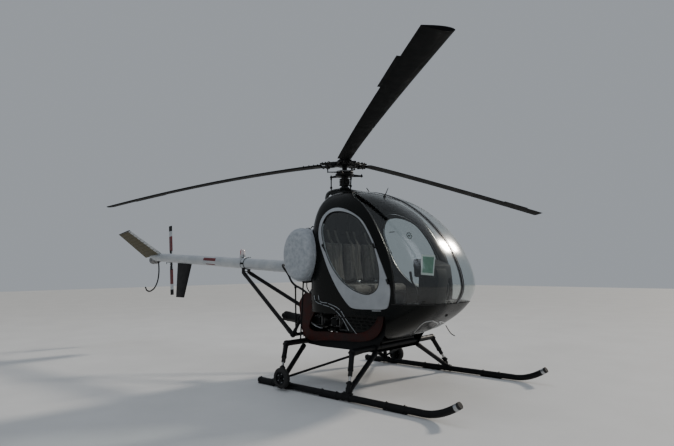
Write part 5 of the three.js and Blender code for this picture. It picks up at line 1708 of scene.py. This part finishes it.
def damper_body(top, heel):
    """An oil damper: capped cylinder, rubber boot and bright rod."""
    way = heel - top
    body = 0.6 * way.length
    profile = [(0.02, 0), (0.024, 0.004), (0.03, 0.012), (0.03, 0.034), (0.0275, 0.037),
               (0.0275, body - 0.03), (0.03, body - 0.027), (0.03, body - 0.004),
               (0.026, body)]
    cylinder = painted(turned(profile, top, way, 36), STEEL)
    boot_profile = [(0.021, body - 0.001)]
    for i in range(5):
        h = body + i * 0.011
        boot_profile += [(0.024, h + 0.003), (0.024, h + 0.005), (0.0195, h + 0.009), (0.0195, h + 0.011)]
    boot = painted(turned(boot_profile, top, way, 28), RUBBER)
    piston = painted(rod(top.lerp(heel, 0.55), heel, 0.014, sides=28), BRIGHT)
    return [cylinder, boot, piston]


def leg(end, name, side):
    spots = {key: on_side(place, side) for key, place in LEGS[end].items()}
    top, damper, heel, foot = (spots[key] for key in ("top", "damper", "heel", "foot"))
    steel = [
        eased_rod(top, foot, 0.027, sides=40),
        collar(top, foot, 0.06, 0.0295, 0.022), collar(top, foot, 0.93, 0.03, 0.014),
        eased_rod(heel, foot, 0.024), ball(heel, 0.028),
        collar(heel, foot, 0.5, 0.027, 0.008),
        block(foot.x - 0.055, foot.x + 0.055, foot.y - 0.03, foot.y + 0.03, 0.05, 0.082, 0.008, 3),
    ]
    for shift in (-0.04, 0.04):
        steel.append(eased_rod((foot.x + shift - 0.01, side * SKID["y"], SKID["z"]),
                               (foot.x + shift + 0.01, side * SKID["y"], SKID["z"]), 0.036))
        steel.append(bolt((foot.x + shift, foot.y, 0.082), (0, 0, 1), 0.006, 0.009))
    if end == "rear":
        ends = [on_side(place, side) for place in DRAG_BRACE]
        steel += [eased_rod(*ends, 0.013, 0.001, 20), collar(*ends, 0.03, 0.017, 0.018, 20),
                  collar(*ends, 0.97, 0.017, 0.018, 20)]
    pin_half = Vector((0.045, 0, 0))
    steel += [eased_rod(damper - pin_half, damper + pin_half, 0.012),
              eased_rod(heel - pin_half * 0.85, heel + pin_half * 0.85, 0.011)]
    all_painted(steel, STEEL)
    settle(join(*steel, *damper_body(damper, heel)), f"leg_{end}_{name}_strut", "black_steel",
           f"leg_{end}_{name}")


def cross_beam(name):
    x = BEAM[name]
    tube = eased_rod((x, -BEAM["half"], BEAM["z"]), (x, BEAM["half"], BEAM["z"]), BEAM["r"], 0.004, 40)
    pieces = [tube]
    for side in SIDES.values():
        for y in (RAIL["y"], 0.44, 0.775):
            pieces.append(eased_rod((x, side * (y - 0.018), BEAM["z"]),
                                    (x, side * (y + 0.018), BEAM["z"]), BEAM["r"] + 0.003, 0.001, 40))
        pieces.append(bolt((x, side * BEAM["half"] - side * 0.001, BEAM["z"]), (0, side, 0), 0.01, 0.0009))
    all_painted(pieces, STEEL)
    settle(join(*pieces), f"cross_beam_{name}_tube", "black_steel", f"cross_beam_{name}")


# Frame and engine bay
STRUT = {"x": -1.95, "y": 0.052, "z": 1.245, "r": 0.027, "foot": (-0.525, 0.414, 0.492)}
CLUSTER = (-0.5, 0.42, 0.48)
# The bands' outer and inner edge, (x, z)
BAY_OUTER = [(-0.251, 1.003), (-0.344, 0.891), (-0.328, 0.741), (-0.297, 0.562), (-0.204, 0.463),
             (0.151, 0.48), (0.481, 0.494), (0.637, 0.505), (0.788, 0.553), (0.87, 0.633),
             (0.911, 0.73), (0.918, 0.804)]
BAY_INNER = [(-0.111, 1.007), (-0.087, 0.89), (-0.104, 0.783), (-0.162, 0.685), (-0.187, 0.601),
             (-0.137, 0.563), (0.152, 0.57), (0.482, 0.577), (0.666, 0.607), (0.763, 0.668),
             (0.831, 0.746), (0.859, 0.822)]
BAY = {"y0": 0.432, "y1": 0.456}


def tail_strut(name, side):
    start = Vector((STRUT["x"], side * STRUT["y"], STRUT["z"]))
    end = on_side(STRUT["foot"], side)
    pieces = [eased_rod(start.lerp(end, 0.012), end, STRUT["r"], 0.003, 40),
              collar(start, end, 0.05, 0.0295, 0.03), collar(start, end, 0.955, 0.0295, 0.03),
              bolt(start.lerp(end, 0.03) + Vector((0, side * 0.02, 0)), (0, side, 0), 0.008, 0.012)]
    all_painted(pieces, STEEL)
    settle(join(*pieces), f"tail_strut_{name}_tube", "black_steel", f"tail_strut_{name}")


def fish_plate(corner, ways):
    """A welded gusset between two bars that leave one corner."""
    corner = Vector(corner)
    a, b = (Vector(way).normalized() * 0.07 for way in ways)
    normal = a.cross(b).normalized() * 0.006 / 2
    points = [corner - a * 0.2 - b * 0.2, corner + a, corner + b]
    return loft([[p - normal for p in points], [p + normal for p in points]])


def centre_frame():
    z = RAIL["z"]
    pieces = []
    for side in SIDES.values():
        y = side * RAIL["y"]
        pieces.append(eased_rod((RAIL["aft"], y, z), (RAIL["fore"], y, z), RAIL["r"]))
        for x in (-0.285, 0.46):
            pieces.append(rod((x, y, z), (x, y, 0.838 - GAP), 0.018))
            pieces += [fish_plate((x, y, z + 0.01), ((way, 0, 0), (0, 0, 1))) for way in (1, -1)]
        hub = Vector((CLUSTER[0], side * CLUSTER[1], CLUSTER[2]))
        root = boom_centre(-0.23) + Vector((0, side * 0.098, 0.035))
        pieces += [ball(hub, 0.034), rod(hub, (-0.44, y, z), RAIL["r"]), rod(hub, root, 0.02),
                   collar(hub, root, 0.06, 0.024, 0.02), collar(hub, root, 0.94, 0.024, 0.02),
                   bolt(hub + Vector((0, side * 0.03, 0)), (0, side, 0), 0.012, 0.012)]
        start = Vector((-0.262, side * 0.14, 1.165))
        cradle = bent([start, (-0.262, side * 0.35, 1.14), (-0.19, side * 0.56, 1.15),
                       (-0.12, side * 0.64, 1.2)], 0.014, steps=8)
        pieces.append(cradle)
        pieces.append(rod((-0.19, side * 0.548, 1.152),
                          (-0.236, side * 0.548, BEAM["z"] + BEAM["r"] + GAP), 0.009))
        pieces.append(rod((-0.262, side * 0.15, 1.165), (-0.262, side * 0.12, 1.24), 0.014))
    for x in (RAIL["aft"] + 0.01, 0.56, RAIL["fore"] - 0.01):
        pieces.append(rod((x, -RAIL["y"], z), (x, RAIL["y"], z), 0.016))
    ring_r = boom_radius(-0.23) + 0.022
    collar_ring = rod(boom_centre(-0.262), boom_centre(-0.2), ring_r, sides=72)
    cut(collar_ring, rod(boom_centre(-0.3), boom_centre(-0.15), boom_radius(-0.23) + 0.002, sides=72))
    pieces.append(collar_ring)
    all_painted(pieces, STEEL)
    settle(join(*pieces), "centre_frame_tubes", "black_steel", "centre_frame")


def bay_band(side):
    """The U-shaped side band: a sheet with a rolled lip along each edge and rivets."""
    outer, inner = ([p for p, _ in smooth_line(edge, 64)] for edge in (BAY_OUTER, BAY_INNER))
    y0, y1 = side * BAY["y0"], side * BAY["y1"]
    sheet = slab([*outer, *reversed(inner)], y0, y1)
    nose = [(x - 2 * GAP, z) for x, z in BAY_EDGE[1:]]
    cut(sheet, slab([*nose, (1.5, 0.38), (1.5, SILL_Z)], -0.7, 0.7))
    pieces = [sheet]
    for edge in (outer, inner):
        inside = [(x, z) for x, z in edge[::3] if x < 0.91]
        pieces.append(bent([(x, y1, z) for x, z in inside], 0.005, steps=4))
    for low, high in list(zip(outer, inner))[2:-6:2]:
        for share in (0.2, 0.8):
            spot = low.lerp(high, share)
            pieces.append(turned([(0.0045, 0), (0.004, 0.0015), (0.0022, 0.0026)], (spot.x, y1, spot.y),
                                 (0, side, 0), 8))
    return pieces


def engine_bay_frame():
    pieces = bay_band(-1) + bay_band(1)
    for x in (-0.15, 0.151, 0.56):
        pieces.append(rod((x, -0.4165, 0.452), (x, 0.4165, 0.452), 0.014))
    all_painted(pieces, RED_OXIDE)
    settle(join(*pieces), "engine_bay_bands", "red_brown_paint", "engine_bay_frame")


# Tail pieces
CLAMP_X = -1.95
BEACON_X = -2.035
TAIL = {"x": -4.61, "y": 0.35, "z": 1.465, "radius": 0.65, "chord": 0.11}
# The stabiliser's root and tip: place of its middle, chord and thickness
STABILIZER = (((-4.558, -0.045, 1.545), 0.547, 0.03), ((-4.582, -0.6, 1.942), 0.4, 0.022))
FIN = ((-3.35, 1.48), (-3.6, 0.815), (-3.85, 0.815), (-3.815, 1.48))
TAIL_SKID = [(-4.455, 0, 1.475), (-4.44, 0, 1.19), (-4.52, 0, 1.01), (-4.7, 0, 0.9),
             (-4.84, 0, 0.905), (-4.896, 0, 0.961)]


def boom_around(x, grow, half, finish):
    """A band round the boom, grow thicker than it, with the boom left free inside."""
    band = turned([(boom_radius(x) + grow - 0.002, 0), (boom_radius(x) + grow, 0.002),
                   (boom_radius(x) + grow, 2 * half - 0.002), (boom_radius(x) + grow - 0.002, 2 * half)],
                  boom_centre(x + half), boom_centre(x - half) - boom_centre(x + half), 72)
    return painted(cut(band, boom_bore(x + 2 * half, x - 2 * half)), finish)


def boom_seams():
    """Riveted joints along the boom, each with a row of heads on both sides of its band."""
    stations = (-0.56, -1.3, -2.45, -3.5, -4.25)
    pieces = [boom_around(x, 0.0012, 0.018, WHITE) for x in stations]
    r = boom_radius(stations[0]) + 0.0012
    heads = [turned([(0.003, -0.0006), (0.0026, 0.0008), (0.0012, 0.0014)], (0, r * c, r * s), (0, c, s), 6)
             for c, s in around(24)]
    row = painted(join(*heads), WHITE)
    for x in stations:
        for dx in (-0.01, 0.01):
            copy = another(row)
            share = (boom_radius(x) + 0.0012) / r
            copy.scale = (share, share, share)
            copy.location = boom_centre(x + dx)
            pieces.append(apply_place(copy))
    bpy.data.objects.remove(row)
    settle(join(*pieces), "boom_seams", "white_paint")


def boom_marks():
    """Two plain dark red bars on the boom's right side."""
    pieces = []
    for x0, x1, low, high in ((-2.945, -2.62, 3, 38), (-2.89, -2.65, -47, -33)):
        sections = []
        for i in range(9):
            x = x0 + (x1 - x0) * i / 8
            arc = []
            for lift, turns in ((0.0004, range(11)), (0.001, range(10, -1, -1))):
                for k in turns:
                    a = radians(low + (high - low) * k / 10)
                    arc.append(boom_centre(x) + Vector((0, -cos(a), sin(a))) * (boom_radius(x) + lift))
            sections.append(arc)
        pieces.append(painted(loft(sections), BAND_RED))
    settle(join(*pieces), "boom_marks", "striped_paint")


def boom_clamp():
    r = boom_radius(CLAMP_X)
    ring_band = boom_around(CLAMP_X, 0.0075, 0.032, WHITE)
    edges = [boom_around(CLAMP_X + dx, 0.009, 0.003, STEEL) for dx in (-0.035, 0.035)]
    middle, foot = boom_centre(CLAMP_X).z, STRUT["z"]
    pieces = [block(CLAMP_X - 0.026, CLAMP_X + 0.026, y0, y1, foot - 0.02, middle - r + 0.02, 0.004)
              for y0, y1 in ((-0.064, -0.04), (0.04, 0.064))]
    pieces.append(block(CLAMP_X - 0.026, CLAMP_X + 0.026, -0.05, 0.05, foot + 0.008, foot + 0.02))
    for side in SIDES.values():
        way = Vector((0, side, 0))
        pieces.append(block(CLAMP_X - 0.032, CLAMP_X + 0.032, side * (r + 0.004), side * (r + 0.0105),
                            middle - 0.014, middle + 0.014, 0.002))
        for dx in (-0.018, 0.018):
            pieces.append(bolt((CLAMP_X + dx, side * (r - 0.02), middle + 0.09), way, 0.006, 0.008))
        pieces.append(bolt((CLAMP_X, side * 0.064, foot), way, 0.009, 0.01))
    all_painted(pieces, STEEL)
    settle(join(ring_band, *edges, *pieces), "boom_clamp_band", "black_steel", "boom_clamp")


def beacon():
    """The warning light: an alloy base under a glass dome, red behind and clear in front."""
    top = boom_centre(BEACON_X).z + boom_radius(BEACON_X)
    place = (BEACON_X, 0, top)
    base = turned([(0.04, -0.014), (0.045, -0.004), (0.045, 0.02), (0.042, 0.036), (0.044, 0.04),
                   (0.044, 0.048)], place, sides=40)
    painted(cut(base, boom_bore(BEACON_X + 0.1, BEACON_X - 0.1, 96)), SILVER)
    ribs = [(0.039, 0.048)]
    for i in range(5):
        h = 0.05 + i * 0.0088
        ribs += [(0.0395, h + 0.002), (0.038, h + 0.006)]
    dome = turned([*ribs, (0.0385, 0.096), (0.035, 0.11), (0.026, 0.122), (0.013, 0.129), (0.003, 0.13)],
                  place, sides=40)
    painted(dome, RED_LENS)
    dome.data.materials.append(CLEAR_LENS)
    for face in dome.data.polygons:
        if face.center.x > BEACON_X + 0.004:
            face.material_index = 1
    settle(join(base, dome), "beacon_lamp", "red_plastic", "beacon")


def tail_gearbox():
    x, z = TAIL["x"], TAIL["z"]
    profile = [(0.03, -0.07), (0.05, -0.069), (0.066, -0.052), (0.072, -0.03), (0.072, -0.02),
               (0.076, -0.018), (0.076, -0.008), (0.072, -0.006), (0.072, 0.056), (0.066, 0.064),
               (0.052, 0.096), (0.045, 0.11), (0.032, 0.122), (0.032, 0.15), (0.026, 0.154),
               (0.026, 0.255)]
    body = turned(profile, (x, 0, z), (0, 1, 0), 56)
    cut(body, rod(boom_centre(-4.4), boom_centre(BOOM["x1"]) - Vector((GAP, 0, 0)),
                  boom_radius(-4.4) + GAP, BOOM["r1"] + GAP, 72))
    painted(body, ALLOY)
    pieces = [body]
    for dx, dz in around(12, 0.074):
        pieces.append(painted(bolt((x + dx * 0.97, -0.018, z + dz * 0.97), (0, -1, 0), 0.004, 0.006), STEEL))
    settle(join(*pieces), "tail_gearbox_case", "cast_alloy", "tail_gearbox")


def tail_blade():
    """One tail rotor blade straight up from the hub, painted in bands that end at its rings."""
    root, tip = 0.11, TAIL["radius"]
    bands = [(0.17, WHITE), (0.45, BAND_RED), (0.55, WHITE), (tip, STEEL)]
    stops = [root, 0.14, *[end for end, _ in bands]]
    sections = []
    for r in stops:
        chord = TAIL["chord"] * (0.8 if r == root else 0.92 if r == 0.14 else 1.0)
        thick = 0.016 if r < 0.15 else 0.012
        sections.append([Vector(((0.5 - back) * chord, up * thick, r)) for back, up in aerofoil(24)])
    piece = loft(sections)
    piece.data.materials.clear()
    for _, finish in bands:
        piece.data.materials.append(finish)
    for face in piece.data.polygons:
        r = face.center.z
        face.material_index = min(sum(r > end + 0.0005 for end, _ in bands), len(bands) - 1)
    neck = [rod((0, 0, 0.03), (0, 0, 0.15), 0.0165),
            block(-0.03, 0.03, -0.012, 0.012, 0.1, 0.185, 0.005),
            eased_rod((0, -0.024, 0.075), (0, 0.024, 0.075), 0.012, 0.001, 16)]
    for x, z in ((0.016, 0.122), (-0.016, 0.122), (0.0, 0.16)):
        neck += [bolt((x, 0.012, z), (0, 1, 0), 0.005, 0.005), bolt((x, -0.012, z), (0, -1, 0), 0.005, 0.005)]
    all_painted(neck, STEEL)
    return join(piece, *neck)


def tail_rotor():
    place = Vector((TAIL["x"], TAIL["y"], TAIL["z"]))
    hub = turned([(0.022, -0.0947), (0.03, -0.09), (0.03, -0.06), (0.046, -0.055), (0.048, -0.05),
                  (0.048, 0.026), (0.044, 0.03), (0.028, 0.036), (0.026, 0.042), (0.014, 0.044)],
                 place, (0, 1, 0), 40)
    slider = turned([(0.034, -0.082), (0.042, -0.08), (0.042, -0.068), (0.034, -0.066)], place, (0, 1, 0), 32)
    all_painted([hub, slider], STEEL)
    blade = tail_blade()
    pieces = [hub, slider]
    for degrees in (-5, 175):
        horn = rod((0.034, -0.074, 0.0), (0.038, -0.074, 0.07), 0.006, sides=12)
        pieces += [moved(another(blade), place, y=degrees), moved(painted(horn, STEEL), place, y=degrees)]
    bpy.data.objects.remove(blade)
    settle(join(*pieces), "tail_rotor_blades", "striped_paint", "tail_rotor", body="tail_rotor")


def ventral_fin():
    """A thin tapered fin under the boom: rounded nose, ribs and a capped foot."""
    sections = []
    for (x_front, z), (x_back, _) in ((FIN[0], FIN[3]), (FIN[1], FIN[2])):
        sections.append([Vector((x_front + (x_back - x_front) * back, up * 0.03, z))
                         for back, up in aerofoil(36)])
    body = loft(sections)
    pieces = [cut(body, boom_bore(-3.0, -4.2, 96))]
    for share in (0.3, 0.62, 0.97):
        ring_points = []
        for back, up in aerofoil(36):
            low = sections[0][0].lerp(sections[1][0], share)
            chord = (FIN[3][0] - FIN[0][0]) * (1 - share) + (FIN[2][0] - FIN[1][0]) * share
            ring_points.append(Vector((low.x + chord * back, up * 0.0325, low.z)))
        pieces.append(loft([[p + Vector((0, 0, h)) for p in ring_points] for h in (-0.006, 0.006)]))
    all_painted(pieces, STEEL)
    settle(join(*pieces), "ventral_fin_panel", "black_steel", "ventral_fin")


def stabilizer():
    """Up and out to the right: white above and along its nose, ribbed below, with painted shade in dull olive
    below.
    """
    (root, root_chord, root_thick), (tip, tip_chord, tip_thick) = STABILIZER
    root, tip = Vector(root), Vector(tip)
    along = (tip - root).normalized()
    ahead = Vector((cos(radians(8)), 0, sin(radians(8))))
    normal = along.cross(ahead).normalized()
    if normal.z < 0:
        normal = -normal

    def section(share, swell=1.0, thicker=0.0):
        chord = root_chord + (tip_chord - root_chord) * share
        thick = root_thick + (tip_thick - root_thick) * share + thicker
        middle = root.lerp(tip, share)
        return [middle + ahead * (0.5 - back) * chord * swell + normal * up * thick
                for back, up in aerofoil(48)]

    body = painted(loft([section(i / 10) for i in range(11)]), WHITE)
    # Faces below, back from the nose, get the painted shade
    body.data.materials.append(SHADE_OLIVE)
    for face in body.data.polygons:
        share = (face.center - root).dot(along) / (tip - root).length
        chord = root_chord + (tip_chord - root_chord) * share
        front = (face.center - root.lerp(tip, share)).dot(ahead) / chord
        if face.normal.dot(normal) < -0.1 and front < 0.34:
            face.material_index = 1
    pieces = [cut(body, boom_bore(-4.0, BOOM["x1"]))]
    for i in range(9):
        share = 0.1 + i * 0.105
        low = section(share)
        ribs = [[p - normal * h + along * d for p in low[26:46:3]] for h, d in
                ((0.0, -0.005), (0.0035, -0.002), (0.0035, 0.002), (0.0, 0.005))]
        # The ribs below carry the same painted shade
        pieces.append(painted(loft(list(zip(*ribs))), SHADE_OLIVE))
    cap = loft([section(0.985, 1.004, 0.002), section(1.0, 1.004, 0.002)])
    pieces.append(painted(cap, BLACK))
    settle(join(*pieces), "stabilizer_panel", "white_paint", "stabilizer")


def tail_skid():
    tube = bent(TAIL_SKID, 0.0118, steps=10, fineness=6)
    cut(tube, boom_bore(-4.3, -4.62))
    shoe = bent([(-4.64, 0, 0.924), (-4.7, 0, 0.8985), (-4.77, 0, 0.8925), (-4.83, 0, 0.903)],
                0.0128, steps=8, fineness=5)
    tip = ball((-4.8935, 0, 0.9585), 0.013, 16)
    foot = Vector((-4.454, 0, 1.446))
    plate = turned([(0.022, 0), (0.026, 0.002), (0.026, 0.006), (0.016, 0.02)], foot - Vector((0, 0, 0.012)),
                   (0.02, 0, -1), 24)
    pieces = [tube, shoe, tip, cut(plate, boom_bore(-4.3, -4.62))]
    all_painted(pieces, STEEL)
    settle(join(*pieces), "tail_skid_tube", "black_steel", "tail_skid")


# Camera, floor and lights

def camera():
    bpy.ops.object.camera_add(location=EYE + MAST_FOOT)
    eye = bpy.context.object
    eye.name = "camera"
    ahead = Vector((cos(VIEW_PITCH) * cos(VIEW_HEADING), cos(VIEW_PITCH) * sin(VIEW_HEADING),
                    sin(VIEW_PITCH)))
    right = ahead.cross(Vector((0, 0, 1))).normalized()
    up = right.cross(ahead)
    rolled_right = right * cos(VIEW_ROLL) + up * sin(VIEW_ROLL)
    rolled_up = up * cos(VIEW_ROLL) - right * sin(VIEW_ROLL)
    eye.rotation_euler = Matrix((rolled_right, rolled_up, -ahead)).transposed().to_euler()
    eye.data.lens = FOCAL_MM
    eye.data.sensor_width = SENSOR_MM
    bpy.context.scene.camera = eye


def stage_and_lights():
    bpy.ops.mesh.primitive_plane_add(size=60, location=(0, 0, -MM))
    floor = apply_place(bpy.context.object)
    floor.name = "floor"
    painted(floor, FLOOR)
    # name, place, size, watts, colour
    lights = (
        ("top", (-3.0, 1.0, 9.5), 7.0, 220, "#eef3ff"),
        ("fill", (6.5, -9.0, 9.0), 6.0, 170, "#eaf1ff"),
    )
    for name, place, size, watts, colour in lights:
        bpy.ops.object.light_add(type="AREA", location=Vector(place) + MAST_FOOT)
        lamp = bpy.context.object
        lamp.name = name
        lamp.data.size = size
        lamp.data.energy = watts
        lamp.data.color = linear(colour)[:3]
        lamp.visible_glossy = name != "top"
        lamp.rotation_euler = (Vector((0.2, 0, 1.2)) - Vector(place)).to_track_quat("-Z", "Y").to_euler()
    # A broad, low sun stands where the one in the photograph glints on the windshield
    bpy.ops.object.light_add(type="SUN", location=Vector((3, 9, 6)) + MAST_FOOT)
    sun = bpy.context.object
    sun.name = "key"
    sun.data.energy = 2.6
    sun.data.angle = radians(6)
    sun.data.color = linear("#fff4e6")[:3]
    sun.rotation_euler = Vector((-0.19, -0.86, -0.47)).to_track_quat("-Z", "Y").to_euler()
    world = bpy.context.scene.world or bpy.data.worlds.new("sky")
    bpy.context.scene.world = world
    world.use_nodes = True
    sky = world.node_tree.nodes["Background"]
    sky.inputs["Color"].default_value = linear("#dfe6ee")
    sky.inputs["Strength"].default_value = 0.45


camera()
stage_and_lights()

canopy_frame()
nose_shell()
rear_shell()
mast_fairing()
firewall()
cabin_floor()
seat_base()
instrument_console()
cyclic_sticks()
cabin_card()
for count, seat_y in enumerate(SEATS, 1):
    cushion(count, seat_y)
    backrest(count, seat_y)
    harness(count, seat_y)
for side_name, side_sign in SIDES.items():
    windshield(side_name, side_sign)
    door(side_name, side_sign)
    door_glass(side_name, side_sign)
    fuel_tank(side_name, side_sign)
    bay_panel(side_name, side_sign)
windshield_seals()
lamp_windows()
side_louvres()
cabin_fittings()
rear_fittings()
tank_cradles()
left_window_vent()

mast_support()
swashplate()
rotor_hub()
pitch_links()
for count, one_blade in enumerate(BLADES, 1):
    main_blade(count, one_blade)

engine()
fan_scroll()
belt_drive()
main_gearbox()
exhaust_muffler()
bay_plates()
centre_frame()
engine_bay_frame()

tail_boom()
boom_seams()
boom_marks()
boom_clamp()
beacon()
tail_gearbox()
tail_rotor()
ventral_fin()
stabilizer()
tail_skid()

for beam_name in ("front", "rear"):
    cross_beam(beam_name)
for side_name, side_sign in SIDES.items():
    skid(side_name, side_sign)
    ground_wheel(side_name, side_sign)
    tail_strut(side_name, side_sign)
    for end_name in LEGS:
        leg(end_name, side_name, side_sign)

for pattern in patterns.values():
    bpy.data.objects.remove(pattern)
